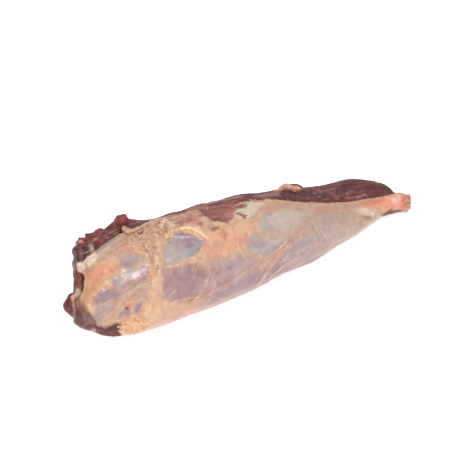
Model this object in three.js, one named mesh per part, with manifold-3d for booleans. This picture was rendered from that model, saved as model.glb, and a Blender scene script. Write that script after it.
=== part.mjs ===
// A boneless veal roast: one whole muscle group, raw, tapering from a thick cut end to a thin sinewy tip.
// The front and the underside are covered with silverskin and fat. The back is the lean face that the
// bones were cut from. It lies on its side, as on a table.
// Millimetres. +X runs along the roast to the tip, -Y is the covered front, +Z is up.

import * as THREE from "three";
import { mergeVertices } from "three/addons/utils/BufferGeometryUtils.js";
import Module from "manifold-3d";

// Driving dimensions
const LENGTH = 475;
const TIP = 243;
const CUT_END = TIP - LENGTH;
const SAG = 6; // how far the soft underside spreads on the table, which leaves the flat that it rests on
const END_SLANT = 0.65; // the cut end slants: this much nearer the tip at the back, per mm across
const END_RELIEF = 9; // how uneven the cut end is

const wasm = await Module();
wasm.setup();

// A smooth run of one size along the roast, through a few [x, size] pairs.
function profile(pairs) {
  const line = new THREE.CatmullRomCurve3(
    pairs.map(([x, size]) => new THREE.Vector3(x, size, 0)),
    false,
    "centripetal",
  );
  const samples = line.getPoints(200);
  return (x) => {
    const next = samples.findIndex((point) => point.x >= x);
    if (next <= 0) return samples[next === 0 ? 0 : samples.length - 1].y;
    const [a, b] = [samples[next - 1], samples[next]];
    return THREE.MathUtils.mapLinear(x, a.x, b.x, a.y, b.y);
  };
}

// Slow, even lumps, as raw meat has everywhere: three crossing waves of about this length.
function lumps({ x, y, z }, wave) {
  const k = (2 * Math.PI) / wave;
  return (
    (Math.sin(k * (x + 0.6 * z)) * Math.cos(k * (0.9 * y - 0.4 * x)) +
      Math.sin(k * (0.7 * z - 1.3 * y) + 1.7) * Math.cos(k * (0.8 * x + 0.5 * y) + 0.6)) /
    2
  );
}

// A closed skin from rings of points, with a point at each end.
function skin(rings, start, end) {
  const sides = rings[0].length;
  const points = [start, ...rings.flat(), end];
  const faces = [];
  for (let side = 0; side < sides; side++) {
    const next = (side + 1) % sides;
    faces.push(0, 1 + next, 1 + side);
    for (let ring = 0; ring + 1 < rings.length; ring++) {
      const [a, b] = [1 + ring * sides + side, 1 + ring * sides + next];
      faces.push(a, b, b + sides, a, b + sides, a + sides);
    }
    const last = 1 + (rings.length - 1) * sides;
    faces.push(points.length - 1, last + side, last + next);
  }
  const geometry = new THREE.BufferGeometry().setFromPoints(points);
  geometry.setIndex(faces);
  return geometry;
}

// Where the rings of a loft go. At each blunt end a ring stands where the section has grown to each of the
// given shares of its full size, which it reaches that many mm in.
function stations(from, to, rings, blunt, grownTo) {
  const inset = (grown) => 1 - (1 - grown ** 3) ** (1 / 3);
  const start = grownTo.map((grown) => ({ x: from + inset(grown) * blunt[0], grown }));
  const end = grownTo.toReversed().map((grown) => ({ x: to - inset(grown) * blunt[1], grown }));
  const body = Array.from({ length: rings }, (_, ring) => {
    return { x: THREE.MathUtils.lerp(from + blunt[0], to - blunt[1], ring / (rings - 1)), grown: 1 };
  });
  return [...start, ...body, ...end];
}

// One muscle lofted along X. Each section is a superellipse: square 2 is an ellipse, and more is fuller.
function muscle({ from, to, rings, sides, blunt, width, height, middle, bottom, square, relief }) {
  const slanted = (x, point) => {
    point.x += END_SLANT * point.y * (1 - THREE.MathUtils.smoothstep(x, CUT_END + 20, CUT_END + 180));
    return point;
  };
  const heart = (x) => new THREE.Vector3(x, middle(x), bottom(x) + height(x) / 2);
  const made = stations(from, to, rings, blunt, [0.3, 0.55, 0.75, 0.88, 0.96]).map(({ x, grown }) => {
    const points = [];
    for (let side = 0; side < sides; side++) {
      const angle = (2 * Math.PI * side) / sides;
      const [c, s] = [Math.cos(angle), Math.sin(angle)];
      const full = (grown / 2) * (Math.abs(c) ** square + Math.abs(s) ** square) ** (-1 / square);
      const out = new THREE.Vector3(0, c * width(x) * full, s * height(x) * full);
      const point = slanted(x, heart(x).add(out));
      point.x += END_RELIEF * lumps(point, 45) * (1 - grown);
      points.push(point.addScaledVector(out.normalize(), relief(point) * grown));
    }
    return points;
  });
  return skin(made, slanted(from, heart(from)), slanted(to, heart(to)));
}

// A rounded strand or lobe through a few [x, y, z, radius] places.
function strand(places, rings = 5, sides = 9) {
  const line = new THREE.CatmullRomCurve3(places.map(([x, y, z]) => new THREE.Vector3(x, y, z)));
  const size = line.getLength();
  const radius = (t) => {
    const at = Math.min(Math.floor(t * (places.length - 1)), places.length - 2);
    return THREE.MathUtils.lerp(places[at][3], places[at + 1][3], t * (places.length - 1) - at);
  };
  const ends = [radius(0), radius(1)];
  const made = stations(-ends[0] / 2, size + ends[1] / 2, rings, ends, [0.6, 0.9]).map(({ x, grown }) => {
    const inside = THREE.MathUtils.clamp(x, 0, size);
    const t = line.getUtoTmapping(inside / size);
    const ahead = line.getTangent(t);
    const left = new THREE.Vector3(0, 0, 1).cross(ahead).normalize();
    const above = ahead.clone().cross(left);
    const centre = line.getPoint(t).addScaledVector(ahead, x - inside);
    return Array.from({ length: sides }, (_, side) => {
      const angle = (2 * Math.PI * side) / sides;
      return centre
        .clone()
        .addScaledVector(left, Math.cos(angle) * radius(t) * grown)
        .addScaledVector(above, Math.sin(angle) * radius(t) * grown);
    });
  });
  const tip = (t, out) => line.getPoint(t).addScaledVector(line.getTangent(t), (out * radius(t)) / 2);
  return skin(made, tip(0, -1), tip(1, 1));
}

// A rounded rise (or, below 0, a hollow) about a place on the skin.
function rise(point, place, reach, amount) {
  const off = [point.x - place[0], point.y - place[1], point.z - place[2]];
  const far = off.reduce((sum, value, axis) => sum + (value / reach[axis]) ** 2, 0);
  return amount * Math.exp(-far);
}

function coveredMuscle() {
  return muscle({
    from: CUT_END,
    to: TIP,
    rings: 52,
    sides: 48,
    blunt: [34, 8],
    width: profile([[-235, 90], [-175, 113], [-138, 120], [-75, 116], [-7, 106], [66, 82], [135, 54],
      [170, 41], [200, 27], [225, 25], [243, 23]]),
    height: profile([[-235, 82], [-175, 100], [-138, 104], [-75, 102], [-7, 94], [66, 74], [135, 46],
      [170, 33], [200, 24], [225, 23], [243, 23]]),
    middle: profile([[-235, 20], [-175, 5], [-138, 2], [-75, 1], [-7, 3], [66, 4], [135, 8], [170, 9],
      [200, 9], [225, 7], [243, 5]]),
    bottom: profile([[-235, 8], [-175, -4], [-138, -SAG], [135, -SAG], [170, -1], [200, 4], [225, 3],
      [243, 1]]),
    square: 2.15,
    relief: (point) =>
      1.5 * lumps(point, 95) +
      rise(point, [-198, -28, 82], [32, 28, 26], 3) + // the hump of the thick end
      rise(point, [-112, -20, 94], [20, 17, 20], -4) + // the bluish window beside the seam
      rise(point, [-60, -52, 50], [40, 30, 30], 2),
  });
}

function leanMuscle() {
  return muscle({
    from: CUT_END - 8,
    to: 231,
    rings: 44,
    sides: 34,
    blunt: [9, 12],
    width: profile([[-235, 82], [-175, 80], [-138, 74], [-75, 72], [-7, 76], [66, 68], [135, 52],
      [170, 46], [195, 40], [222, 30], [231, 24]]),
    height: profile([[-235, 92], [-175, 98], [-138, 92], [-75, 89], [-7, 88], [66, 74], [135, 53],
      [170, 48], [195, 42], [222, 30], [231, 25]]),
    middle: profile([[-235, 42], [-175, 43], [-138, 40], [-75, 38], [-7, 35], [66, 35], [135, 37],
      [170, 36], [195, 33], [222, 25], [231, 20]]),
    bottom: profile([[-235, 2], [-175, -5], [-138, -SAG], [66, -SAG], [135, -2], [170, 0], [231, 3]]),
    square: 2.4,
    relief: (point) =>
      1.5 * lumps(point, 70) +
      rise(point, [-90, 76, 52], [80, 30, 20], -7) + // where a bone lay along the back
      rise(point, [60, 70, 40], [60, 30, 14], -4),
  });
}

// The tendon on the crest of the thick end, with its cut knob.
const tendon = () =>
  strand([[-221, 13, 82, 8], [-212, 12, 84, 9.5], [-200, 11, 85, 9], [-184, 14, 87, 8], [-164, 24, 90, 6]],
    10, 12);

// Lobes of lean: the strip that joins the two muscles near the tip, then those that stand out at the cut
// end and along the crest behind the tendon.
const leanLobes = () => [
  strand([[120, 24, 25, 15], [165, 23, 22, 13], [200, 19, 20, 10.5], [224, 13, 16, 8.5]], 12, 14),
  strand([[-208, 34, 82, 12], [-196, 44, 82, 12]]),
  strand([[-205, 46, 87, 6], [-197, 49, 87, 7]]),
  strand([[-194, 50, 85.5, 7], [-180, 46, 87, 7.5], [-166, 44, 89, 7], [-157, 45, 94, 6.5], [-151, 46, 100, 8.5]],
    10),
  strand([[-239, -2, 63, 6], [-241, -5, 52, 9], [-239, -9, 41, 7]]),
  strand([[-240, -17, 42, 10.5], [-227, -28, 36, 10.5]]),
  strand([[-222, -33, 28, 7], [-205, -42, 25, 7]]),
];

// Fat: the seam that crosses the front, the curl and lobes above it, the flap over the window, a crumbly
// lump at the lower edge, a bit at the cut end and a tag on the crest.
const fat = () => [
  strand([[-136, 8, 90, 6], [-132, -1, 91, 9], [-149, -30, 84, 9], [-160, -45, 70, 9], [-163, -49, 50, 8]],
    10, 12),
  strand([[-158, 27, 90, 4.5], [-152, 32, 92, 6], [-141, 35, 91, 6.5], [-130, 38, 87, 6]], 7),
  strand([[-137, 13, 88, 9], [-128, 17, 88, 11], [-117, 16, 88, 9]]),
  strand([[-120, 36, 80, 10], [-108, 35, 81, 10], [-99, 30, 83, 9]]),
  strand([[-116, 0, 90, 6], [-104, -2, 91, 9], [-94, -7, 89, 9], [-88, -17, 86, 7]], 7, 12),
  strand([[-201, -47, 35, 7.5], [-194, -50, 28, 8]]),
  strand([[-192, -49, 32, 9], [-184, -50, 30, 8.5]]),
  strand([[-234, -2, 65, 5], [-230, -8, 62, 5]]),
  strand([[76, 50, 57, 5], [84, 50, 61, 6.5], [94, 47, 60, 6], [101, 45, 56, 4.5]]),
];

// Cords of fat along the vessels, which fork over the lower front.
const cords = () => [
  strand([[-154, -55, 52, 2.2], [-134, -57, 49.5, 2.5], [-115, -57.5, 46, 2.6], [-97, -58, 44.5, 2.6],
    [-80, -57.5, 46, 2.6], [-59, -56, 49.5, 2.6], [-44, -54, 51.5, 2.6], [-22, -49.5, 52.5, 2.8],
    [-8, -46.5, 53.5, 3.2], [6, -44, 55, 3.8], [18, -41, 58, 3.4]], 26, 8),
  strand([[-27, -40.5, 10, 2.2], [-16, -49.5, 34, 2.5], [7, -47, 43, 2.8], [20, -42, 55, 2.8]], 12, 8),
  strand([[-14, -44, 14, 2], [-2, -45, 21, 2.2], [22, -41, 19, 2.2], [36, -41, 22, 2]], 9, 8),
];

// The torn end of the sinew at the tip.
const tornTip = () => [
  strand([[228, 8, 16, 9.5], [238, 6, 16, 9]]),
  strand([[230, -1, 13, 8], [238, 0, 11, 8]]),
];

// The closed solid of a geometry whose shared points are merged.
function solid(geometry) {
  const bare = geometry.clone();
  bare.deleteAttribute("normal");
  bare.deleteAttribute("uv");
  const merged = mergeVertices(bare, 1e-3);
  return new wasm.Manifold(
    new wasm.Mesh({
      numProp: 3,
      vertProperties: merged.attributes.position.array,
      triVerts: new Uint32Array(merged.index.array),
    }),
  );
}

function geometryOf(made) {
  const mesh = made.getMesh();
  const geometry = new THREE.BufferGeometry();
  geometry.setAttribute("position", new THREE.BufferAttribute(mesh.vertProperties, 3));
  geometry.setIndex(new THREE.BufferAttribute(mesh.triVerts, 1));
  return geometry;
}

function roast() {
  const pieces = [coveredMuscle(), leanMuscle(), tendon(), ...leanLobes(), ...fat(), ...cords(), ...tornTip()];
  const whole = pieces.map(solid).reduce((sum, piece) => sum.add(piece));
  const table = new THREE.BoxGeometry(2 * LENGTH, 2 * LENGTH, LENGTH).translate(0, 0, -LENGTH / 2);
  return geometryOf(whole.subtract(solid(table)));
}

const geometry = roast();

// The origin is under the middle of the bounding box.
geometry.computeBoundingBox();
const middle = geometry.boundingBox.getCenter(new THREE.Vector3());
geometry.translate(-middle.x, -middle.y, -geometry.boundingBox.min.z);

const meat = new THREE.MeshStandardMaterial({ color: 0xc98f78, roughness: 0.45, metalness: 0 });
const mesh = new THREE.Mesh(geometry, meat);
mesh.name = "veal_roast";

const group = new THREE.Group();
group.add(mesh);

export default group;
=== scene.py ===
# %% [markdown]
# # A raw boneless veal roast
# One whole piece of raw veal lies on a white surface. It tapers from a thick cut end on the left to a thin,
# torn tip on the right. Its front is covered with silverskin and soft fat, and the strip behind the crest is
# bare lean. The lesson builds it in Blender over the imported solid: camera and light first, then the skin of
# the meat, the map of what tissue lies where, the relief of each tissue, its finish, and last the loose bits.

import itertools
import math

import bmesh
import bpy
import numpy as np
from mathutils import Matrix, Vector
from mathutils.bvhtree import BVHTree


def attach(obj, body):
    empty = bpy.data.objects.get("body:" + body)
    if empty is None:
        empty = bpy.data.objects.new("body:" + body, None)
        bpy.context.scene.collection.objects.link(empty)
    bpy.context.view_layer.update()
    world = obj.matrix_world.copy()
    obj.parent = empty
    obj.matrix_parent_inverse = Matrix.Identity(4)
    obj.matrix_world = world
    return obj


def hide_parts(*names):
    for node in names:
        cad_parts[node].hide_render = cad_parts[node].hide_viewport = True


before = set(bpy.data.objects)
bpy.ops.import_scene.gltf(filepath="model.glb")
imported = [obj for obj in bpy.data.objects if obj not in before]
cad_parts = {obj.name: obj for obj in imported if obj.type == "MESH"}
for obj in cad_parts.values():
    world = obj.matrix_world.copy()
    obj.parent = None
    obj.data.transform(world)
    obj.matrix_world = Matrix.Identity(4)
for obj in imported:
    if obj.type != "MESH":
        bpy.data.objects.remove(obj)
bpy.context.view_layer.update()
solid_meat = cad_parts["veal_roast"]

# %% [markdown]
# ## The camera
# The photograph was taken from the front left, from about a third of the way up. A long lens keeps the far
# tip from shrinking. The camera is placed by the direction it looks back along, so that the same three
# vectors can later say where any point of the meat falls in the picture.

# %% Camera
FRAME_PIXELS = 465
AZIMUTH, ELEVATION = math.radians(-33), math.radians(34)
DISTANCE, LENS, SENSOR = 1.3, 85, 36  # metres, mm, mm
LOOK_AT = Vector((-0.01675, 0.00743, 0.0514))

toward_camera = Vector(
    (
        math.sin(AZIMUTH) * math.cos(ELEVATION),
        -math.cos(AZIMUTH) * math.cos(ELEVATION),
        math.sin(ELEVATION),
    )
)
picture_right = Vector((math.cos(AZIMUTH), math.sin(AZIMUTH), 0))
picture_up = toward_camera.cross(picture_right)
camera_place = LOOK_AT + DISTANCE * toward_camera

lens_data = bpy.data.cameras.new("camera")
lens_data.lens = LENS
lens_data.sensor_width = SENSOR
camera = bpy.data.objects.new("camera", lens_data)
camera.location = camera_place
camera.rotation_euler = toward_camera.to_track_quat("Z", "Y").to_euler()
bpy.context.scene.collection.objects.link(camera)
bpy.context.scene.camera = camera
print("camera at", [round(v, 3) for v in camera_place])

# %% [markdown]
# ## Colours
# Every colour in this lesson is written as the hex value that a paint program shows. Blender's shaders work
# in linear light, so one function turns hex into linear.


# %% Hex to linear
def colour(text):
    """The linear red, green and blue of an sRGB hex value such as "e2ae80"."""
    shown = np.array([int(text[k : k + 2], 16) / 255 for k in (0, 2, 4)])
    return np.where(shown <= 0.04045, shown / 12.92, ((shown + 0.055) / 1.055) ** 2.4)


print("half grey in linear light:", colour("808080").round(3))

# %% [markdown]
# ## The studio
# The meat lies on a light table: a sheet of opal acrylic that glows a little, so shadows on it stay pale and
# the underside is lit from below. The key light hangs almost overhead, a little to the front, and a smaller
# spark light near it makes the glints on the silverskin. A wide fill light and a small glint light stand at
# the left. The glint light stands where the wet border of the orange fat mirrors it to the camera. A back
# light and a bright surround fill the rest. The table is lit until it is pure white, as in the photograph.


# %% Floor, surround and lights
def add_material(name):
    """A material whose nodes are still to be added."""
    made = bpy.data.materials.new(name)
    made.use_nodes = True
    made.node_tree.nodes.clear()
    return made


def add_node(tree, kind, settings=None, links=None):
    """One node with its settings, and with its inputs linked or set: {input name or number: socket or value}."""
    node = tree.nodes.new(kind)
    for name, value in (settings or {}).items():
        setattr(node, name, value)
    for name, value in (links or {}).items():
        if isinstance(value, bpy.types.NodeSocket):
            tree.links.new(value, node.inputs[name])
        else:
            node.inputs[name].default_value = value
    return node


opal_acrylic = add_material("opal_acrylic")
table_top = add_node(
    opal_acrylic.node_tree,
    "ShaderNodeBsdfPrincipled",
    links={
        "Base Color": (*colour("dedede"), 1),
        "Roughness": 0.9,
        "Specular IOR Level": 0.1,
        "Emission Color": (1.0, 1.0, 1.0, 1.0),
        "Emission Strength": 0.7,
    },
)
add_node(opal_acrylic.node_tree, "ShaderNodeOutputMaterial", links={"Surface": table_top.outputs[0]})

TABLE_HALF = 3  # metres
floor_mesh = bpy.data.meshes.new("floor")
corners = [(TABLE_HALF * x, TABLE_HALF * y, 0) for x, y in ((-1, -1), (1, -1), (1, 1), (-1, 1))]
floor_mesh.from_pydata(corners, [], [(0, 1, 2, 3)])
floor_mesh.materials.append(opal_acrylic)
floor = bpy.data.objects.new("floor", floor_mesh)
bpy.context.scene.collection.objects.link(floor)

surround = bpy.data.worlds.new("surround")
surround.use_nodes = True
surround.node_tree.nodes["Background"].inputs["Color"].default_value = (1.0, 1.0, 1.0, 1)
surround.node_tree.nodes["Background"].inputs["Strength"].default_value = 0.37
bpy.context.scene.world = surround

MEAT_MIDDLE = Vector((0, 0, 0.05))


def soft_light(name, place, size, watts):
    """A soft rectangular light that points at the meat. Place and size are in metres."""
    lamp = bpy.data.lights.new(name, "AREA")
    lamp.shape = "RECTANGLE"
    lamp.size, lamp.size_y = size
    lamp.energy = watts
    holder = bpy.data.objects.new(name, lamp)
    holder.location = place
    aim = MEAT_MIDDLE - Vector(place)
    holder.rotation_euler = aim.to_track_quat("-Z", "Y").to_euler()
    bpy.context.scene.collection.objects.link(holder)
    return holder


soft_light("key_light", (0.22, -0.42, 1.35), (0.6, 0.45), 10.3)
soft_light("spark_light", (0.1, -0.55, 1.2), (0.3, 0.2), 3.5)
soft_light("fill_light", (-1.2, -0.8, 0.8), (0.9, 0.9), 3.4)
soft_light("glint_light", (-1.0, -1.0, 0.74), (0.25, 0.25), 3.4)
soft_light("back_light", (0.2, 1.3, 1.0), (1.2, 0.6), 4)
bpy.context.scene.view_settings.view_transform = "Standard"

# %% [markdown]
# ## The skin of the meat
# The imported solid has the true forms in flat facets. A voxel remesh turns them into one even net of small
# quads, with lobes and cords grown together as tissue is, and a light smoothing takes the facets off. Even
# spacing matters, because all the relief that follows is made by moving these points.

# %% Remesh the solid into an even skin
VOXEL = 0.00145  # metres between skin points, fine enough for a 4 mm cord of fat
SMOOTH_ROUNDS = 7

blank = bpy.data.objects.new("blank", solid_meat.data.copy())
bpy.context.scene.collection.objects.link(blank)
weave = blank.modifiers.new("even_net", "REMESH")
weave.mode = "VOXEL"
weave.voxel_size = VOXEL
relax = blank.modifiers.new("relax", "SMOOTH")
relax.factor = 0.5
relax.iterations = SMOOTH_ROUNDS
evaluated = blank.evaluated_get(bpy.context.evaluated_depsgraph_get())
skin_mesh = bpy.data.meshes.new_from_object(evaluated)
bpy.data.objects.remove(blank)
skin_mesh.name = "veal"
skin_mesh.materials.clear()

point_count = len(skin_mesh.vertices)
flat = np.empty(point_count * 3, np.float32)
skin_mesh.vertices.foreach_get("co", flat)
points = flat.reshape(-1, 3).astype(float)
print("skin:", point_count, "points,", len(skin_mesh.polygons), "faces")

# %% [markdown]
# ## Helpers for thousands of points
# Relief and colour could be brushed on by hand, but a brush can't be run again with a changed number. So all
# of it comes from functions that work on all the points at once. Noise gives hills of a chosen width, a
# cloud gives hills on hills, and lobules give packed round cells, as fat has. The last number that each is
# given is a seed, which only picks one pattern out of many.


# %% Helpers that work on all skin points at once
def smooth(low, high, value):
    """0 below low, 1 above high, and a smooth rise between."""
    t = np.clip((value - low) / (high - low), 0, 1)
    return t * t * (3 - 2 * t)


def random_at(cell, seed):
    """An even random number from 0 to 1 for each whole-number place in space, always the same one."""
    a, b, c = (cell[..., k].astype(np.int64) for k in range(3))  # large odd factors mix their bits
    mixed = (a * 374761393 + b * 668265263 + c * 1274126177 + seed * 1442695041) & 0xFFFFFFFF
    mixed = ((mixed ^ (mixed >> 13)) * 1274126177) & 0xFFFFFFFF
    return (mixed ^ (mixed >> 16)) / 2**32


def noise(places, size, seed=0):
    """Smooth random hills about this many metres wide, from -1 to 1."""
    at = places / size
    low = np.floor(at)
    t = at - low
    t = t * t * (3 - 2 * t)
    total = np.zeros(len(places))
    for corner in itertools.product((0, 1), repeat=3):
        weight = np.prod(np.where(corner, t, 1 - t), axis=1)
        total += weight * random_at(low + corner, seed)
    return 2 * total - 1


def cloud(places, size, seed=0):
    """Hills with smaller hills on them."""
    return sum(noise(places, size / 2**k, seed + k) / 2**k for k in range(3)) / 1.75


def lobules(places, size, seed=0):
    """Rounded cells about this many metres wide: 1 in the middle of each, 0 along the creases."""
    at = places / size
    home = np.floor(at)
    nearest = np.full(len(places), 9.0)
    second = np.full(len(places), 9.0)
    for step in itertools.product((-1, 0, 1), repeat=3):
        cell = home + step
        seat = cell + np.stack([random_at(cell, seed + k) for k in range(3)], axis=1)
        far = np.linalg.norm(at - seat, axis=1)
        second = np.minimum(second, np.maximum(nearest, far))
        nearest = np.minimum(nearest, far)
    return smooth(0.0, 0.45, second - nearest)


def normals_of(places):
    """Shows the mesh these places and reads back its normals."""
    skin_mesh.vertices.foreach_set("co", places.astype(np.float32).ravel())
    skin_mesh.update()
    read = np.empty(point_count * 3, np.float32)
    skin_mesh.vertex_normals.foreach_get("vector", read)
    return read.reshape(-1, 3).astype(float)


edges = np.empty(len(skin_mesh.edges) * 2, np.int32)
skin_mesh.edges.foreach_get("vertices", edges)
edges = edges.reshape(-1, 2)
neighbours = np.bincount(edges.ravel(), minlength=point_count)


def spread(value, rounds):
    """Evens a value out over the net, each point with its neighbours."""
    for _ in range(rounds):
        total = np.bincount(edges[:, 0], value[edges[:, 1]], point_count)
        total += np.bincount(edges[:, 1], value[edges[:, 0]], point_count)
        value = 0.5 * value + 0.5 * total / neighbours
    return value


normals = normals_of(points)
print("helpers ready; mean neighbours a point:", round(float(neighbours.mean()), 2))

# %% [markdown]
# ## What the camera sees of each point
# The photograph shows where each window of silverskin and each lobe of fat lies. So each skin point gets
# the pixel that it falls on, and a ray towards the camera tells whether it can be seen at all. Points out
# of sight are given their tissue by their place in space instead, and a soft border joins the two.

# %% Pixel and visibility of every skin point
PIXELS_PER_TANGENT = FRAME_PIXELS * LENS / SENSOR
offset = points - np.array(LOOK_AT)
depth = DISTANCE - offset @ np.array(toward_camera)
pixel = np.stack(
    [
        FRAME_PIXELS / 2 + PIXELS_PER_TANGENT * (offset @ np.array(picture_right)) / depth,
        FRAME_PIXELS / 2 - PIXELS_PER_TANGENT * (offset @ np.array(picture_up)) / depth,
    ],
    axis=1,
)

tree = BVHTree.FromPolygons([tuple(p) for p in points], [tuple(f.vertices) for f in skin_mesh.polygons])
to_camera = np.array(camera_place) - points
to_camera /= np.linalg.norm(to_camera, axis=1, keepdims=True)
facing = (normals * to_camera).sum(axis=1)
in_sight = np.zeros(point_count)
EDGE_ON = 0.02  # a point that faces the camera less than this is out of sight
RAY_LIFT = 0.0012  # metres off the skin, so that a ray doesn't hit the faces it starts from
for k in np.nonzero(facing > EDGE_ON)[0]:
    start = points[k] + RAY_LIFT * normals[k]
    if tree.ray_cast(Vector(start), Vector(to_camera[k]))[0] is None:
        in_sight[k] = 1
in_sight = smooth(0.25, 0.75, spread(in_sight, 3))


def seen_point(x, y):
    """The number of the skin point in sight that falls nearest to a pixel."""
    unseen = np.where(in_sight > 0.4, 0, 1e6)
    return int(np.argmin(((pixel - (x, y)) ** 2).sum(axis=1) + unseen))


print("in sight:", f"{in_sight.mean():.0%}", "of the points")

# %% [markdown]
# ## Drawing regions
# A region is an outline of a few pixels, and a thread is a line of a few pixels. Real tissue borders are
# ragged, so both are looked up at places that noise has shaken a little. Each gives a mask from 0 to 1.

# %% Masks from outlines and lines
shake = np.stack([cloud(points, 0.009, seed) for seed in (11, 23)], axis=1)
fine_shake = np.stack([cloud(points, 0.003, seed) for seed in (31, 43)], axis=1)
islands = cloud(points, 0.0055, 47)


def distances(line, closed, ragged):
    """Each point's distance in pixels to a line of pixels, and whether the line goes round it."""
    at = pixel + ragged * (shake + 0.6 * fine_shake)
    line = np.array(line, float)
    far = np.full(point_count, 1e9)
    inside = np.zeros(point_count, bool)
    ends = np.roll(line, -1, axis=0) if closed else line[1:]
    for a, b in zip(line, ends):
        run = b - a
        t = np.clip(((at - a) @ run) / (run @ run), 0, 1)
        far = np.minimum(far, np.linalg.norm(at - a - t[:, None] * run, axis=1))
        crosses = (a[1] > at[:, 1]) != (b[1] > at[:, 1])
        inside ^= crosses & (at[:, 0] < a[0] + run[0] * (at[:, 1] - a[1]) / (run[1] or 1e-9))
    return far, inside


def region(outline, soft=3.0, ragged=2.0):
    """A patch whose border is soft over this many pixels, with islands of it along the border."""
    far, inside = distances(outline, True, ragged)
    far = np.where(inside, far, -far) + 0.9 * soft * islands
    return smooth(-soft, soft, far) * in_sight


def thread(line, wide, soft=0.8, ragged=0.8):
    """A line this many pixels wide."""
    far, _ = distances(line, False, ragged)
    return (1 - smooth(wide / 2 - soft / 2, wide / 2 + soft, far)) * in_sight


def streaks(degrees, wide, long, seed):
    """Stripes of noise from 0 to 1 that run at this angle in the picture, this many pixels wide and long."""
    turn = math.radians(degrees)
    run = pixel @ np.array([math.cos(turn), -math.sin(turn)])
    across = pixel @ np.array([math.sin(turn), math.cos(turn)])
    flat_place = np.stack([run * wide / long, across + 0.8 * shake[:, 0], 0 * run], axis=1)
    return smooth(-0.45, 0.45, cloud(flat_place, wide, seed))


test_mask = region([(171, 234), (204, 240), (190, 256), (166, 262)])
print("a test mask covers", round(float(test_mask.sum())), "points")

# %% [markdown]
# ## What tissue lies where
# Five kinds of tissue show: lean muscle, soft fat, yellow or white fat, silverskin, and sinew. Silverskin is
# a thin clear sheet, so its colour is that of what lies under it: mauve over lean, blue-grey where it is
# tight, green-grey and tan where it is thick. Each tissue is laid over the last one like paint, as a share
# from 0 to 1 for each skin point. A share can be partial, because a thin film of fat is partial too.

# %% The list of tissues
NAMES = "lean fresh dark peach orange pink coral butter tallow mauve blue grey_green tan sinew".split()
SILVERSKIN = ("mauve", "blue", "grey_green", "tan")
share = {name: np.zeros(point_count) for name in NAMES}
share["peach"][:] = 1


def lay(name, mask, amount=1.0, shares=share):
    """Lays a tissue over what is there."""
    cover = np.clip(mask * amount, 0, 1)
    for other in shares.values():
        other *= 1 - cover
    shares[name] += cover


def lay_all(name, amount, soft, *outlines):
    """Lays one tissue in several patches."""
    for outline in outlines:
        lay(name, region(outline, soft), amount)


def film_in(outline):
    """The silverskin laid so far, inside one wide outline."""
    return sum(share[name] for name in SILVERSKIN) * region(outline, 3)


print("tissues:", ", ".join(NAMES))

# %% [markdown]
# ## Out of sight: back, underside and cut face
# The camera doesn't show these. The back is the bare lean face that the bones were cut from, with streaks
# of fat along the seams of the muscles. The underside carries the silverskin and fat of the front round to
# it. The slanted end is cut across the grain, so it shows lean with fat between the muscles.

# %% Tissue of the hidden sides
mm = points * 1000
hidden = 1 - in_sight
crest = np.interp(mm[:, 0], [-235, -75, 66, 135, 200, 240], [26, 20, 19, 13, 6, 0])
under = smooth(30, 8, mm[:, 2])
bare = smooth(-3, 3, mm[:, 1] - crest + 14 * under + 7 * cloud(points, 0.03, 51))
cut_face = smooth(0.62, 0.85, normals @ np.array([-0.838, 0.545, 0])) * smooth(-140, -150, mm[:, 0])

lay("orange", hidden * smooth(0.0, 0.5, cloud(points, 0.04, 57)), 0.5)
lay("mauve", hidden * smooth(-0.2, 0.3, cloud(points, 0.05, 61) - 0.3 * normals[:, 2]), 0.8)
lay("tan", hidden * smooth(0.05, 0.35, cloud(points, 0.035, 67)) * smooth(20, 120, mm[:, 0]), 0.7)
lay("peach", hidden * smooth(0.1, 0.5, cloud(points * [0.4, 1, 1], 0.008, 69)), 0.5)
lay("lean", hidden * np.maximum(bare, cut_face))
along_fibres = points * [0.16, 1, 1]
frayed = 0.3 * cloud(along_fibres, 0.0025, 75)
lay("fresh", hidden * bare * smooth(-0.1, 0.5, cloud(points * [0.4, 1, 1], 0.03, 77) + frayed), 0.55)
lay("dark", hidden * bare * smooth(0.1, 0.5, cloud(points * [0.4, 1, 1], 0.022, 78) + frayed), 0.5)
lay("mauve", hidden * bare * smooth(0.15, 0.45, cloud(points * [0.35, 1, 1], 0.024, 79) + frayed), 0.55)
lay("tallow", hidden * bare * smooth(0.4, 0.6, cloud(points * [0.3, 1, 1], 0.016, 80) + frayed), 0.6)

# seams between the muscles of the back: (height at the middle, slope, wander, all in mm)
furrow = np.zeros(point_count)
for turn, (level, slope, wander) in enumerate(((24, -0.06, 5), (47, -0.16, 8), (70, -0.25, 6))):
    wavy = wander * cloud(points, 0.06, 71 + turn)
    off = np.abs(mm[:, 2] - level - slope * mm[:, 0] - wavy - 1.5 * cloud(points, 0.01, 73))
    here = hidden * bare * smooth(-0.25, 0.1, cloud(points, 0.045, 83 + turn))
    furrow = np.maximum(furrow, here * smooth(6, 0, off))
    fatty = here * smooth(-0.2, 0.15, cloud(points * [0.5, 1, 1], 0.014, 87 + turn))
    lay("peach", fatty * smooth(3.0, 1.2, off + 5 * frayed), 0.85)
    lay("dark", here * (1 - fatty) * smooth(2.2, 0.6, off), 0.7)

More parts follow.
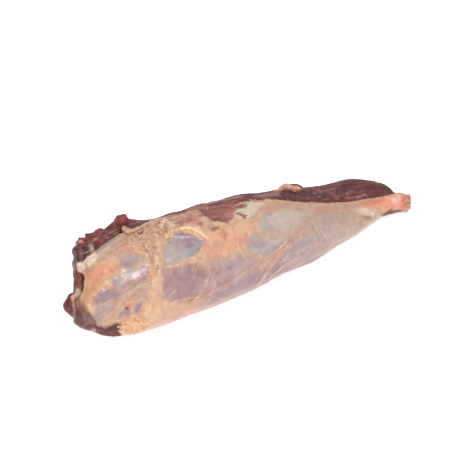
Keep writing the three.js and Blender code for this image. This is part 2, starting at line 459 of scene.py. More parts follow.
# the cut end: three muscles with fat between them, which show as cut across the fibres
grain_across = cloud(points, 0.0028, 90)
lay("fresh", hidden * cut_face * smooth(-0.1, 0.3, cloud(points, 0.025, 89)), 0.6)
lay("dark", hidden * cut_face * smooth(0.1, 0.5, cloud(points, 0.012, 92) + 0.4 * grain_across), 0.5)
for level, slope, wander in ((8, 0.0, 6), (-22, 0.3, 5)):
    wavy = wander * cloud(points, 0.022, 93)
    off = np.abs(mm[:, 1] - level - slope * (mm[:, 2] - 45) - wavy - 2 * cloud(points, 0.006, 94))
    lay("pink", hidden * cut_face * smooth(2.6, 1.0, off), 0.8)
    lay("tallow", hidden * cut_face * smooth(1.4, 0.5, off) * smooth(-0.1, 0.3, cloud(points, 0.02, 95)), 0.7)
lay("coral", hidden * cut_face * smooth(0.42, 0.55, cloud(points, 0.009, 96)), 0.6)
print("hidden points that are lean:", f"{(share['lean'] * hidden).sum() / hidden.sum():.0%}")

# %% [markdown]
# ## In sight: the thick end
# The hump of the thick end has orange fat on its left, peach fat with small lobes on top, and windows of
# mauve and blue silverskin lower down. Thin strands of fat are drawn across the windows, all at one slant.

# %% Tissue of the thick end
lay_all("orange", 1.0, 3,
    [(84, 308), (81, 290), (83, 278), (92, 266), (104, 260), (116, 260), (117, 268), (110, 282),
    (98, 295), (92, 306)],
    [(78, 310), (86, 306), (88, 314), (80, 316)])
lay_all("mauve", 0.85, 3,
    [(110, 289), (114, 277), (126, 268), (149, 269), (151, 283), (139, 286), (127, 291), (116, 293)],
    [(92, 304), (96, 295), (104, 289), (117, 290), (122, 296), (108, 303)])
lay_all("mauve", 0.5, 4,
    [(84, 319), (92, 303), (116, 292), (148, 287), (149, 300), (128, 306), (112, 316), (96, 326)])
lay_all("blue", 0.6, 3,
    [(85, 320), (87, 307), (98, 303), (111, 303), (112, 311), (98, 318)],
    [(95, 314), (103, 317), (101, 321), (94, 320)],
    [(119, 281), (128, 269), (138, 269), (130, 279), (120, 285)])
print("mauve silverskin:", int(share["mauve"].sum()), "points")

# %% [markdown]
# Silverskin is clear, so the fat under it shows through in slanted streaks, and small patches of other
# tissue lie in the windows and round them. Where the light shines on the film it is laid a little paler.

# %% Streaks and patches of the hump
hump_film = film_in([(80, 330), (90, 270), (150, 262), (150, 330)])
lay("peach", hump_film * streaks(36, 2.0, 16, 201), 0.5)
lay("tallow", hump_film * streaks(30, 1.1, 12, 203) ** 3, 0.35)
lay_all("blue", 0.8, 1.8, [(120, 257), (128, 254), (139, 255), (138, 260), (130, 266), (124, 267), (120, 265)])
lay_all("tallow", 0.25, 2.5, [(120, 257), (128, 254), (139, 255), (136, 259), (126, 260)])
lay_all("grey_green", 0.75, 1.6,
    [(140, 255), (149, 255), (149, 263), (140, 264)], [(142, 285), (150, 286), (150, 291), (141, 291)],
    [(110, 243), (122, 235), (126, 238), (114, 248)])
lay_all("tan", 0.75, 2, [(96, 254), (110, 242), (122, 235), (126, 238), (114, 248), (101, 258)])
lay_all("mauve", 0.95, 1.5,
    [(115, 320), (119, 313), (127, 309), (132, 313), (130, 317), (121, 321)],
    [(135, 313), (137, 305), (141, 302), (143, 304), (139, 314)])
lay_all("pink", 0.75, 2.5, [(122, 303), (130, 297), (137, 297), (141, 301), (132, 307), (124, 308)])
lay_all("pink", 0.6, 2.5, [(108, 315), (113, 311), (117, 313), (112, 318)],
    [(116, 262), (124, 262), (120, 268), (108, 274)])
lay_all("butter", 0.7, 3, [(144, 305), (154, 304), (156, 318), (146, 319)],
    [(131, 240), (140, 243), (136, 250), (128, 246)])
lay_all("fresh", 0.75, 1.3, [(137, 316), (142, 316), (144, 321), (138, 322)])
lay_all("dark", 0.6, 1.0, [(125, 307), (129, 307), (129, 310), (125, 310)])
for a, b in (((127, 303), (145, 299)), ((121, 296), (139, 287)), ((100, 305), (118, 296)),
        ((104, 320), (122, 303))):
    lay("butter", thread([a, b], 1.0, 1.2, 2.0), 0.5)
for a, b in (((112, 293), (130, 279)), ((96, 312), (112, 300)), ((130, 300), (148, 291)),
        ((90, 318), (100, 309))):
    lay("peach", thread([a, b], 0.9, 1.0, 1.6), 0.6)
lay_all("pink", 0.5, 5, [(108, 256), (116, 240), (126, 234), (146, 234), (154, 240), (152, 256), (120, 256)])
lay_all("orange", 0.9, 2, [(80, 288), (90, 284), (99, 292), (97, 304), (93, 313), (86, 315), (82, 306)])
lay_all("butter", 0.45, 2.5, [(94, 304), (98, 292), (108, 280), (116, 273), (116, 280), (106, 292), (100, 304)])
lay_all("coral", 0.35, 4, [(92, 268), (104, 264), (108, 272), (96, 280)],
    [(84, 296), (92, 290), (94, 300), (86, 306)])
lay_all("coral", 0.25, 2, [(124, 304), (130, 298), (134, 300), (128, 307)],
    [(108, 316), (112, 313), (114, 317), (110, 318)])
lay_all("mauve", 0.85, 3, [(92, 304), (96, 295), (104, 289), (117, 289), (121, 294), (108, 303)])
shine = region([(98, 286), (112, 274), (126, 265), (149, 267), (150, 280), (132, 284), (114, 294),
    (104, 297)], 4)
lay("tallow", shine * smooth(-0.1, 0.4, cloud(points, 0.006, 251)), 0.2)
lay("blue", shine * smooth(-0.1, 0.3, cloud(points, 0.009, 253)), 0.45)
lay_all("coral", 0.35, 5, [(84, 276), (98, 266), (116, 260), (120, 266), (106, 275), (92, 286)])
print("orange fat:", int(share["orange"].sum()), "points")

# %% [markdown]
# ## In sight: the middle
# The seam of fat divides the hump from the long front. Past it come the bluish window under its yellow
# flap, the band of orange fat that ends at the crest, and the wide silverskin: mauve below, grey-blue in
# the middle, green-grey and tan towards the tip.

# %% Tissue of the middle
lay_all("tallow", 0.3, 3, [(150, 250), (157, 244), (162, 258), (160, 285), (164, 302), (152, 304)])
lay_all("orange", 0.35, 4, [(150, 262), (158, 250), (163, 270), (160, 290), (166, 303), (200, 306), (210, 318),
    (150, 335), (152, 300)])
lay_all("orange", 0.7, 4,
    [(204, 228), (226, 223), (258, 221), (256, 230), (249, 239), (245, 248), (231, 253), (214, 257),
    (200, 258), (205, 243)])
lay_all("mauve", 0.95, 3.5,
    [(161, 268), (176, 266), (208, 262), (211, 274), (206, 287), (198, 298), (176, 303), (163, 297)],
    [(200, 309), (214, 294), (262, 270), (292, 256), (322, 254), (300, 270), (262, 288), (238, 299)])
lay_all("mauve", 0.75, 4, [(207, 262), (224, 256), (240, 254), (264, 261), (254, 276), (234, 286), (204, 299)])
lay_all("dark", 0.07, 6, [(161, 270), (205, 264), (208, 284), (196, 298), (172, 300)],
    [(216, 300), (262, 272), (300, 256), (262, 290)])
lay_all("blue", 0.45, 5, [(212, 262), (226, 256), (242, 256), (250, 264), (238, 274), (218, 276)])
long_film = film_in([(150, 260), (262, 248), (330, 250), (262, 296), (150, 310)])
left_film = long_film * region([(155, 260), (215, 256), (210, 304), (160, 306)], 4)
lay("peach", left_film * streaks(80, 1.6, 18, 205), 0.2)
right_film = long_film * region([(205, 256), (330, 245), (262, 296), (200, 306)], 4)
lay("peach", right_film * streaks(38, 2.2, 18, 207), 0.3)
under_window = region([(160, 262), (204, 258), (240, 250), (244, 256), (206, 268), (164, 273)], 4)
lay("peach", under_window * streaks(75, 2, 9, 209), 0.7)
lay("tallow", long_film * streaks(60, 1.0, 12, 211) ** 3, 0.18)
lay_all("mauve", 0.45, 4,
    [(206, 304), (222, 292), (262, 270), (292, 258), (314, 256), (298, 268), (262, 284), (236, 297)])
lay_all("peach", 0.8, 3, [(196, 318), (206, 306), (238, 297), (262, 286), (262, 294), (240, 306)])
lay_all("butter", 0.25, 4, [(148, 262), (156, 244), (162, 262), (158, 290), (152, 296)],
    [(146, 304), (157, 302), (160, 322), (148, 324)])
lay_all("pink", 0.35, 5, [(150, 334), (156, 322), (180, 308), (204, 300), (210, 312), (180, 326), (158, 338)])
lay_all("pink", 0.45, 2, [(151, 250), (156, 248), (156, 262), (152, 264)],
    [(158, 268), (162, 266), (163, 280), (159, 282)])
print("peach fat:", int(share["peach"].sum()), "points")

# %% [markdown]
# From the orange band to the tip lies one wide sheet of silverskin. Its colour changes with what it covers,
# in patches that run into one another.

# %% The wide silverskin
lay_all("grey_green", 0.95, 2.6,
    [(262, 217), (270, 210), (292, 206), (330, 212), (356, 220), (338, 244), (314, 257), (282, 262), (262, 256),
    (250, 252), (247, 244), (251, 236), (258, 227)])
lay_all("blue", 0.7, 3.5, [(247, 243), (253, 237), (264, 242), (282, 245), (276, 254), (262, 255), (250, 252)])
lay_all("blue", 0.4, 3.5, [(264, 230), (266, 220), (275, 218), (280, 225), (273, 231)])
lay_all("mauve", 0.7, 6, [(266, 258), (290, 240), (322, 236), (334, 244), (306, 264), (282, 270)])
lay_all("blue", 0.4, 6, [(290, 250), (316, 238), (340, 238), (336, 250), (306, 264)])
lay_all("blue", 0.3, 5, [(268, 216), (284, 210), (300, 212), (296, 224), (276, 232)],
    [(320, 224), (340, 220), (350, 228), (336, 240)])
lay_all("tan", 0.75, 6,
    [(330, 224), (336, 209), (350, 206), (378, 204), (380, 214), (364, 232), (348, 246), (334, 248)])
lay_all("tan", 0.3, 6, [(300, 224), (310, 209), (345, 206), (345, 240), (318, 252)])
lay_all("pink", 0.2, 5, [(286, 232), (302, 224), (330, 218), (332, 226), (306, 236), (288, 244)],
    [(300, 262), (330, 244), (350, 236), (340, 250), (310, 268)])
front_film = film_in([(246, 206), (400, 200), (400, 230), (300, 270), (246, 256)])
lay("peach", front_film * streaks(30, 2.4, 22, 213), 0.35)
lay("mauve", front_film * streaks(28, 3.0, 26, 217), 0.3)
lay("tallow", front_film * streaks(-55, 1.6, 14, 215) ** 2, 0.1)
lay_all("peach", 0.55, 3, [(258, 228), (268, 232), (284, 232), (300, 226), (296, 232), (276, 238), (254, 238)])
lay_all("tallow", 0.45, 4, [(266, 216), (280, 209), (297, 210), (298, 220), (284, 229), (272, 224)])
lay_all("pink", 0.5, 3,
    [(262, 206), (284, 203), (310, 206), (330, 207), (350, 208), (330, 213), (308, 212),
    (286, 209), (266, 214)])
print("silverskin:", int(sum(share[name].sum() for name in SILVERSKIN)), "points")

# %% [markdown]
# ## In sight: the crest
# The crest is where most of the knife work shows: the bluish window under its lifted yellow flap, lobes of
# pink fat, a red patch of bare muscle and a cream patch of sinew.

# %% Tissue of the crest
lay("grey_green", region([(168, 236), (178, 232), (180, 240), (170, 250)], 2.5), 0.6)
lay("blue", region([(171, 234), (181, 233), (196, 235), (204, 239), (203, 246), (196, 252), (188, 258),
    (176, 262), (166, 264), (165, 249)], 1.0, 1.0))
lay("mauve", region([(170, 240), (184, 233), (202, 240), (192, 246), (176, 252)], 3), 0.6)
lay("tan", region([(166, 242), (174, 240), (178, 252), (170, 262), (164, 258)], 3), 0.25)
lay("tallow", region([(166, 238), (182, 236), (190, 250), (186, 258), (174, 264), (162, 262)], 4), 0.3)
lay("tallow", thread([(192, 240), (198, 241.5), (204, 241)], 0.6, 0.7, 0.4), 0.5)
lay("butter", region([(175, 230), (180, 226), (190, 224), (200, 227), (206, 236), (203, 239), (195, 234),
    (184, 232)], 1.2))
lay("peach", region([(176, 227), (184, 224), (196, 224), (204, 230), (196, 229), (184, 228)], 2), 0.7)
lay_all("pink", 0.75, 2,
    [(146, 222), (156, 218), (168, 219), (174, 226), (173, 236), (166, 239), (158, 232), (148, 232)])
lay_all("peach", 0.6, 1.5, [(163, 225), (168, 224), (170, 229), (164, 230)])
lay_all("peach", 0.8, 2.5, [(160, 217), (175, 214), (200, 208), (206, 216), (200, 222), (176, 226)])
lay_all("pink", 0.8, 2, [(160, 217), (178, 213), (199, 209), (201, 218), (178, 222)],
    [(203, 207), (236, 200), (236, 206), (204, 209)])
lay_all("fresh", 0.4, 2, [(186, 212), (199, 209), (200, 218), (188, 218)],
    [(215, 204), (236, 201), (236, 205), (216, 207)])
print("yellow fat:", int(share["butter"].sum()), "points")

# %% [markdown]
# Along the top edge the covering is thin and torn. Red muscle shows through it in a strip and in a patch,
# and a cream scrap of sinew lies beside them. The orange band below has grains of coral and yellow fat.

# %% Strip, red patch and band of the crest
crest_strip = region([(158, 216), (186, 210), (204, 205), (236, 201), (262, 198), (262, 202), (204, 214),
    (202, 226), (160, 228)], 3)
lay("pink", crest_strip, 0.5)
lay("fresh", crest_strip * smooth(-0.05, 0.35, cloud(points * [0.5, 1, 1], 0.0045, 231)), 0.65)
lay("butter", crest_strip * smooth(0.2, 0.45, cloud(points * [0.5, 1, 1], 0.004, 233)), 0.35)
red_patch = region([(199, 209), (214, 206), (247, 205), (246, 209), (235, 210), (233, 219), (227, 222),
    (215, 221), (201, 214)], 1.6, 2.0)
lay("fresh", red_patch, 0.9)
lay("pink", red_patch * smooth(0.05, 0.4, cloud(points * [0.4, 1, 1], 0.005, 255)), 0.35)
lay("lean", red_patch * smooth(0.0, 0.3, cloud(points * [0.3, 1, 1], 0.006, 257)), 0.5)
lay_all("dark", 0.6, 1.2, [(212, 217), (222, 219), (232, 219), (227, 222), (215, 221)],
    [(200, 209), (208, 211), (206, 215)])
lay_all("pink", 0.6, 1.5, [(225, 213), (233, 212), (233, 218), (227, 217)])
lay("tallow", region([(234, 213), (240, 208), (248, 202), (257, 201), (261, 204), (258, 210), (252, 216),
    (245, 221), (236, 220)], 1.1))
lay("fresh", region([(236, 212), (241, 212), (247, 215), (246, 220), (241, 217), (237, 215)], 0.9), 0.8)
lay("lean", region([(238, 205), (247, 204), (248, 207), (240, 208)], 0.9), 0.8)
lay("fresh", region([(218, 229), (226, 230), (229, 234), (226, 241), (222, 237)], 1.4), 0.6)
lay_all("coral", 0.2, 5, [(208, 244), (226, 236), (250, 228), (248, 240), (228, 252), (206, 258)])
band = region([(204, 222), (258, 220), (246, 248), (204, 258)], 4)
lay("peach", band, 0.25)
lay("coral", band * smooth(0.1, 0.4, cloud(points, 0.0045, 235)), 0.4)
lay("butter", band * smooth(0.15, 0.4, cloud(points, 0.0045, 237)), 0.4)
lay("pink", band * smooth(0.05, 0.0, np.abs(cloud(points, 0.008, 239))), 0.55)
lay_all("butter", 0.35, 3, [(206, 232), (218, 236), (216, 244), (206, 242)],
    [(236, 226), (250, 224), (248, 234), (236, 236)])
lay_all("pink", 0.55, 3, [(203, 246), (214, 240), (224, 246), (214, 256), (203, 256)],
    [(236, 238), (246, 232), (246, 246), (236, 248)])
lay("dark", region([(209, 227), (219, 226), (220, 229.5), (212, 231)], 1.6), 0.6)
lay("tan", region([(203, 225), (212, 224), (213, 229), (205, 229)], 2), 0.5)
print("tan silverskin:", int(share["tan"].sum()), "points")

# %% [markdown]
# At the tip the sinew was pulled off, so it is pink and coral with raw ends. The foot of the long front, the
# crumbly lump and the seam of fat get their last layers here too.

# %% Tissue of the tip
lay("sinew", region([(352, 209), (366, 207), (376, 210), (372, 216), (360, 214)], 2.5), 0.65)
lay("coral", region([(350, 204), (372, 200), (398, 192), (412, 192), (412, 214), (396, 209), (378, 209),
    (362, 206)], 3), 0.9)
lay("fresh", region([(362, 203), (372, 200), (384, 198), (380, 204), (368, 206)], 3), 0.2)
yellow_end = region([(376, 202), (392, 197), (400, 196), (396, 202), (380, 207)], 3)
lay("butter", yellow_end * smooth(0, 0.4, islands), 0.6)
lay("fresh", region([(400, 198), (408, 194), (410, 206), (403, 210)], 2) * smooth(-0.2, 0.3, islands), 0.5)
lay("sinew", region([(392, 196), (398, 194), (402, 198), (398, 204), (392, 203)], 2.5), 0.5)
lay("dark", region([(362, 216), (371, 215), (370, 220), (364, 219)], 1.8), 0.4)
# painted shadow under the raised tip
lay("dark", region([(380, 214), (392, 209.5), (402, 210), (403, 217), (384, 218)], 1.5), 0.8)
lay("fresh", region([(262, 288), (284, 273), (316, 258), (314, 268), (286, 281), (262, 293)], 1.0), 0.6)
# the dark layers of the foot, laid darker the nearer it is to the table, are painted shade
foot = in_sight * smooth(-130, -90, mm[:, 0]) * smooth(150, 100, mm[:, 0])
lay("tan", foot * smooth(44, 14, mm[:, 2]), 0.35)
lay("dark", foot * smooth(52, 22, mm[:, 2]), 0.1)
lay("pink", foot * smooth(26, 8, mm[:, 2]), 0.3)
lay("dark", foot * smooth(20, 4, mm[:, 2]), 0.35)
lay_all("orange", 0.8, 2, [(116, 322), (124, 316), (140, 315), (150, 320), (152, 332), (140, 338), (118, 338)])
seam = region([(150, 240), (162, 242), (160, 262), (163, 300), (160, 314), (151, 312), (150, 280)], 2.5)
lay("butter", seam * streaks(86, 1.5, 12, 259) ** 2, 0.5)
lay("pink", seam * streaks(80, 1.3, 9, 261) ** 2, 0.5)
lay_all("coral", 0.6, 1.4, [(131, 326), (135, 326), (136, 332), (132, 332)],
    [(140, 317), (144, 318), (144, 322), (140, 321)])
print("coral fat:", int(share["coral"].sum()), "points")

# %% [markdown]
# ## In sight: the lean
# Behind one long edge the meat is bare. That edge runs from the cut end, over the tendon, along the crest
# and down to the tip. The lean is laid after the fat, because its edge is cut clean.


# %% The edge of the covering, and the lean behind it
EDGE = [
    (62, 300), (74, 292), (79, 277), (76, 264), (87, 255), (101, 245), (115, 236), (122, 233), (123, 224),
    (129, 228), (137, 231), (143, 226), (151, 221), (160, 218), (170, 216), (187, 212), (203, 207.5),
    (218, 204), (232, 205), (243, 202), (254, 200), (266, 199), (280, 200), (300, 202), (328, 203.4),
    (346, 202.5),
    (369, 199), (387, 196), (396, 193), (404, 190),
]
behind_edge = region([*EDGE, (430, 150), (40, 150), (40, 300)], soft=0.8, ragged=0.8)
lay("lean", behind_edge)
print("behind the edge:", int(behind_edge.sum()), "points")

# %% [markdown]
# The cut end shows lobes of fresh red lean on top, dark clefts between the muscles, and bits of fat and
# sinew that hang in them. Lower down lies a dark, dried lobe with thin skins over it.

# %% The muscles of the cut end
lay_all("fresh", 0.8, 1.6,
    [(74, 238), (80, 234), (90, 233), (98, 230), (98, 228), (108, 227), (113, 222), (114, 215), (121, 213),
    (128, 217), (130, 221), (122, 223), (121, 228), (110, 231), (103, 234), (104, 242), (97, 245),
    (90, 241), (82, 241)])
lay_all("dark", 0.55, 1.5,
    [(86, 235), (98, 233), (104, 235), (100, 237), (90, 238)], [(74, 246), (78, 245), (80, 262), (74, 262)],
    [(82, 250), (88, 253), (80, 262), (79, 256)], [(97, 246), (104, 243), (92, 254), (89, 254)])
lay_all("fresh", 0.85, 1.5, [(73, 270), (81, 269), (82, 290), (75, 289)])
lay_all("dark", 0.7, 1.0, [(80, 273), (83, 277), (82, 292), (79, 290)])
lay_all("coral", 0.85, 1.5, [(77, 238), (83, 236), (85, 241), (79, 243)],
    [(92, 234), (97, 233), (97, 236), (92, 236)])
lay("dark", thread([(78, 246), (79, 254), (77, 263)], 1.4, 1.2, 1.0), 0.7)
lay("dark", thread([(84, 246), (87, 252), (84, 258)], 1.4, 1.2, 1.0), 0.7)
# painted shade along the crease above the tendon
lay("dark", thread([(94, 255), (106, 245), (118, 237)], 1.4, 1.4, 1.0), 0.8)
clefts = region([(73, 246), (80, 243), (90, 243), (100, 240), (90, 252), (80, 262), (73, 262)], 2)
lay("dark", clefts * smooth(-0.2, 0.2, islands), 0.7)
lay("pink", thread([(104, 234), (112, 230), (120, 228)], 1.2, 1.4, 1.5), 0.35)
lay_all("tan", 0.5, 1.3,
    [(88, 243), (92, 243), (96, 250), (92, 254), (88, 250)],
    [(73, 240), (76, 239), (79, 243), (76, 247), (73, 244)])
lay("butter", region([(90, 245), (93, 246), (94, 250), (91, 251)], 1.2), 0.35)
lay_all("tan", 0.3, 1.6, [(79, 246), (83, 247), (83, 257), (80, 258)],
    [(72, 250), (75, 250), (76, 270), (73, 270)])
lay_all("butter", 0.9, 1.0, [(73, 299), (74, 291), (79, 288.5), (79.5, 294), (75.5, 299.5)])
lay("dark", thread([(80.5, 288), (80.5, 295), (76.5, 300.5)], 1.2, 1.0, 0.8), 0.7)
lay_all("lean", 1.0, 1.0, [(58, 300), (68, 295), (72, 302), (73, 318), (66, 321), (58, 310)])
lay_all("fresh", 0.4, 2.0, [(62, 300), (68, 298), (70, 310), (65, 312)])
lay_all("tan", 0.35, 2.0, [(73, 300), (78, 300), (82, 312), (77, 316), (74, 310)])
lay("dark", thread([(76, 296), (75, 306), (78, 316), (84, 322)], 2.2, 1.6, 1.4), 0.65)
lay("dark", thread([(82, 306), (86, 314), (94, 320)], 1.4, 1.6, 1.4), 0.4)
lay_all("fresh", 0.45, 2.0,
    [(74, 300), (80, 304), (88, 314), (96, 322), (98, 328), (80, 331), (68, 324), (72, 310)])
lay_all("mauve", 0.4, 2.0, [(74, 310), (84, 312), (90, 321), (98, 328), (80, 331), (68, 324)])
for x in (74, 78, 82, 86):
    lay("peach", thread([(x - 1, 302 + (x - 74)), (x + 1, 312 + (x - 74)), (x + 5, 322)], 0.8, 1.0, 1.4), 0.55)
lay_all("lean", 0.5, 3, [(74, 304), (84, 310), (92, 320), (98, 327), (84, 330), (74, 322)])
lay_all("lean", 0.65, 2.5, [(77, 311), (82, 314), (86, 322), (80, 328), (75, 321)],
    [(86, 322), (96, 321), (98, 327), (88, 329)])
lay_all("tallow", 0.8, 1.3, [(67, 318), (72, 321), (78, 326), (74, 328), (66, 323)])
lay("tan", thread([(76, 303), (81, 312), (88, 322)], 0.8, 1.2, 1.5), 0.35)
lay_all("lean", 0.95, 1.3, [(94, 324), (106, 326.5), (119, 323.5), (121, 337), (104, 338), (94, 333)])
lay_all("dark", 0.5, 1.5, [(94, 324), (106, 326.5), (119, 323.5), (121, 330), (104, 333), (94, 329)])
print("fresh lean:", int(share["fresh"].sum()), "points")

# %% [markdown]
# The tendon is white where it was cut, and tan where the covering runs on to it; a pale patch on its end is
# a painted highlight. Beside it a thin curl of fat stands over a hollow, which is laid dark as painted shadow.

# %% The tendon, and the curl over its hollow
lay_all("sinew", 1.0, 1.2,
    [(76, 269), (77, 262), (88, 255), (94, 251), (97, 256), (92, 263), (84, 271), (78, 272)])
lay_all("tan", 0.75, 2, [(94, 252), (104, 243), (118, 235), (122, 237), (108, 248), (97, 257)])
lay_all("fresh", 0.7, 1.0, [(72.5, 266), (76, 264), (77, 270), (74, 270)])
# painted highlight on the cut end of the tendon
lay("tallow", region([(87, 259), (92, 258), (92, 264), (86, 266)], 1.2), 0.8)
lay("tan", region([(123, 223), (126, 226), (131, 231), (127, 234), (123, 230)], 1.0, 0.8), 0.9)
lay("tan", thread([(131, 231.5), (137, 229), (145, 225.5), (152, 222), (158, 219.5)], 2.8, 1.2), 0.85)
lay("butter", thread([(136, 228), (144, 225), (150, 222)], 1.0, 1.0), 0.4)
# painted shadow in the hollow under the curl
lay("dark", region([(133, 231.5), (137, 230.5), (142, 228.5), (141, 232.5), (135, 234)], 0.9, 0.8), 0.9)
print("sinew:", int(share["sinew"].sum()), "points")

# %% [markdown]
# Bare muscle is never one colour. Its bundles run along the piece, some fresh and some dried dark, with a
# little fat and sinew between them. So the noise is stretched along the muscle.

# %% Grain of the bare lean
lean_now = share["lean"] + share["fresh"]
long_grain = cloud(points * [0.1, 1, 1], 0.0035, 221)
lay("fresh", lean_now * smooth(0.0, 0.5, cloud(points * [0.25, 1, 1], 0.01, 223)), 0.35)
lay("dark", lean_now * smooth(0.05, 0.5, long_grain), 0.35)
lay("pink", lean_now * smooth(0.25, 0.6, cloud(points * [0.14, 1, 1], 0.0028, 225)), 0.3)
crest_rim = region([(152, 205), (200, 195), (240, 190), (242, 204), (204, 209), (160, 222)], 3)
lay("fresh", behind_edge * crest_rim * smooth(-0.3, 0.2, long_grain), 0.45)
lay("pink", behind_edge * crest_rim * smooth(-0.2, 0.3, cloud(points * [0.3, 1, 1], 0.004, 263)), 0.5)
seen_lean = behind_edge * (share["lean"] + share["fresh"] + share["dark"])
fine_grain = cloud(points * [0.12, 1, 1], 0.0022, 241)
lay("fresh", seen_lean * smooth(0.05, 0.4, fine_grain + 0.3 * noise(points * [0.4, 1, 1], 0.02, 243)), 0.3)
lay("dark", seen_lean * smooth(0.1, 0.4, -fine_grain), 0.35)
lay("pink", seen_lean * smooth(0.36, 0.5, cloud(points * [0.25, 1, 1], 0.0024, 245)), 0.35)
lay("tan", behind_edge * thread([(313, 193), (320, 191), (326, 189), (335, 189)], 1.0, 1.2, 2.4), 0.3)
lay("pink", behind_edge * thread([(328, 191), (334, 195), (337, 199)], 1.2, 1.4, 2.4), 0.3)
lay("pink", behind_edge * thread([(346, 197), (356, 197), (366, 195.5)], 1.0, 1.2, 1.6), 0.45)
lay("fresh", behind_edge * region([(338, 196), (352, 193), (368, 190), (384, 188), (390, 192), (366, 197),
    (346, 200)], 3), 0.2)
# painted shadow in the gaps just above the rim of the covering
lay("dark", behind_edge * thread([(296, 201), (308, 202)], 1.4, 1.4), 0.7)
lay("dark", behind_edge * thread([(335, 202), (347, 202)], 1.6, 1.4), 0.8)
lay("dark", behind_edge * thread([(371, 198.5), (379, 196.5)], 1.4, 1.4), 0.8)
lay("tan", behind_edge * region([(252, 195), (262, 192), (280, 190), (280, 195), (262, 197)], 1.5), 0.35)
# each wrinkle gets a line of painted shade on its groove and a line of painted highlight on its ridge
for start, end in (((310, 220), (316, 230)), ((313, 224), (319, 239)), ((319, 229), (326, 241)),
        ((326, 221), (331, 229))):
    crease = [(start[0] - 0.6, start[1]), (end[0] - 0.6, end[1])]
    lay("dark", thread(crease, 0.5, 0.9, 0.8), 0.15)
    lay("tallow", thread([(start[0] + 1.2, start[1]), (end[0] + 1.2, end[1])], 0.6, 0.9, 0.8), 0.3)
print("lean share in sight:", round(float((share["lean"] * in_sight).sum() / in_sight.sum()), 2))

# %% [markdown]
# ## In sight: threads
# Small vessels run in cords of orange fat over the front, and fine white fascia shows where the sheet of
# silverskin is folded or torn. A thread is laid last, because it lies on top.

# %% Threads of fat and fascia
lay("butter", thread(EDGE[21:-2], 1.4, 1.0, 0.8) * (1 - behind_edge), 0.5)
CORDS = {
    "upper": [(166, 304), (181, 298), (198, 297), (212, 292), (231, 281), (249, 269), (264, 259),
    (272, 254), (285, 245)],
    "middle": [(252, 290), (264, 276), (272, 265), (281, 253), (289, 245), (300, 236), (312, 229)],
    "lower": [(261, 286), (276, 271), (287, 263), (301, 256), (325, 243), (347, 236)],
}
lay("peach", thread(CORDS["upper"], 1.0, ragged=1.4), 0.4)
lay("peach", thread(CORDS["middle"][:5], 2.0, ragged=1.2), 0.7)
lay("pink", thread(CORDS["middle"][3:], 1.4, 2.0, 1.4), 0.5)
lay("peach", thread(CORDS["lower"][:3], 1.2), 0.6)
lay("pink", thread(CORDS["lower"][2:], 1.2, 1.5), 0.4)
lay("pink", thread([(262, 260), (272, 254), (280, 249), (288, 244)], 1.8, 1.4, 2.4), 0.6)
lay("fresh", thread([(262, 260), (268, 257), (273, 254)], 1.2, 1.2, 2.0), 0.5)
lay("pink", thread([(182, 300), (192, 300), (199, 297), (208, 294)], 1.6, 1.4, 2.0), 0.6)
lay("pink", thread([(289, 241), (296, 233), (303, 227), (310, 219), (322, 214)], 1.4, 1.5), 0.5)
lay("pink", thread([(282, 221), (296, 226), (310, 219)], 1.0, 1.5), 0.3)
lay("peach", thread([(208, 262), (210, 274), (205, 285), (199, 296)], 1.0, 1.0), 0.65)
lay("tallow", thread([(237, 243), (240, 249), (244, 258)], 0.9), 0.85)
lay("tallow", thread([(237, 250), (244, 246)], 0.7), 0.4)
lay("peach", thread([(214, 296), (220, 299), (226, 305)], 0.9), 0.5)
SHORT_FIBRES = [
    ((199, 295), (206, 280)), ((202, 293), (207, 284)), ((218, 276), (210, 296)),
    ((168, 297), (176, 290)), ((250, 268), (264, 258)), ((262, 252), (270, 246)),
]
for a, b in SHORT_FIBRES:
    lay("tallow", thread([a, b], 0.5), 0.4)
lay("butter", thread([(137, 286), (144, 285), (151, 282)], 1.0), 0.9)
lay("pink", thread([(150, 262), (151, 275), (152, 292)], 1.0, 1.2, 1.2), 0.5)
lay("pink", region([(168, 284), (171, 284), (171, 287), (168, 287)], 1.0), 0.6)
lay("pink", thread([(174, 286), (186, 299), (188, 298)], 0.4), 0.3)
print("white fat and fascia:", int(share["tallow"].sum()), "points")

# %% [markdown]
# ## Relief
# Each tissue has relief of its own. Soft fat is packed in lobules of 3 to 8 mm. Lean is bundles of fibres
# that run along the muscle, torn a little where the knife went. Silverskin is tight and smooth, with fine
# wrinkles where it is slack. Heights are in millimetres and are added up before one single move.

# %% Heights of each tissue
fat = share["peach"] + share["orange"] + share["pink"] + share["coral"] + share["butter"]
film = sum(share[name] for name in SILVERSKIN)
lean = share["lean"] + share["fresh"] + share["dark"]
lumpy = 0.22 + 0.8 * region([(108, 256), (114, 240), (124, 235), (146, 236), (152, 244), (158, 262),
    (120, 254)], 5)
lumpy += 1.0 * region([(84, 312), (94, 298), (104, 284), (114, 286), (104, 302), (92, 318)], 4)
lumpy += 0.3 * region([(148, 236), (162, 240), (165, 300), (150, 300)], 4)
lumpy += 0.9 * crest_strip
lumpy += 0.5 * hidden

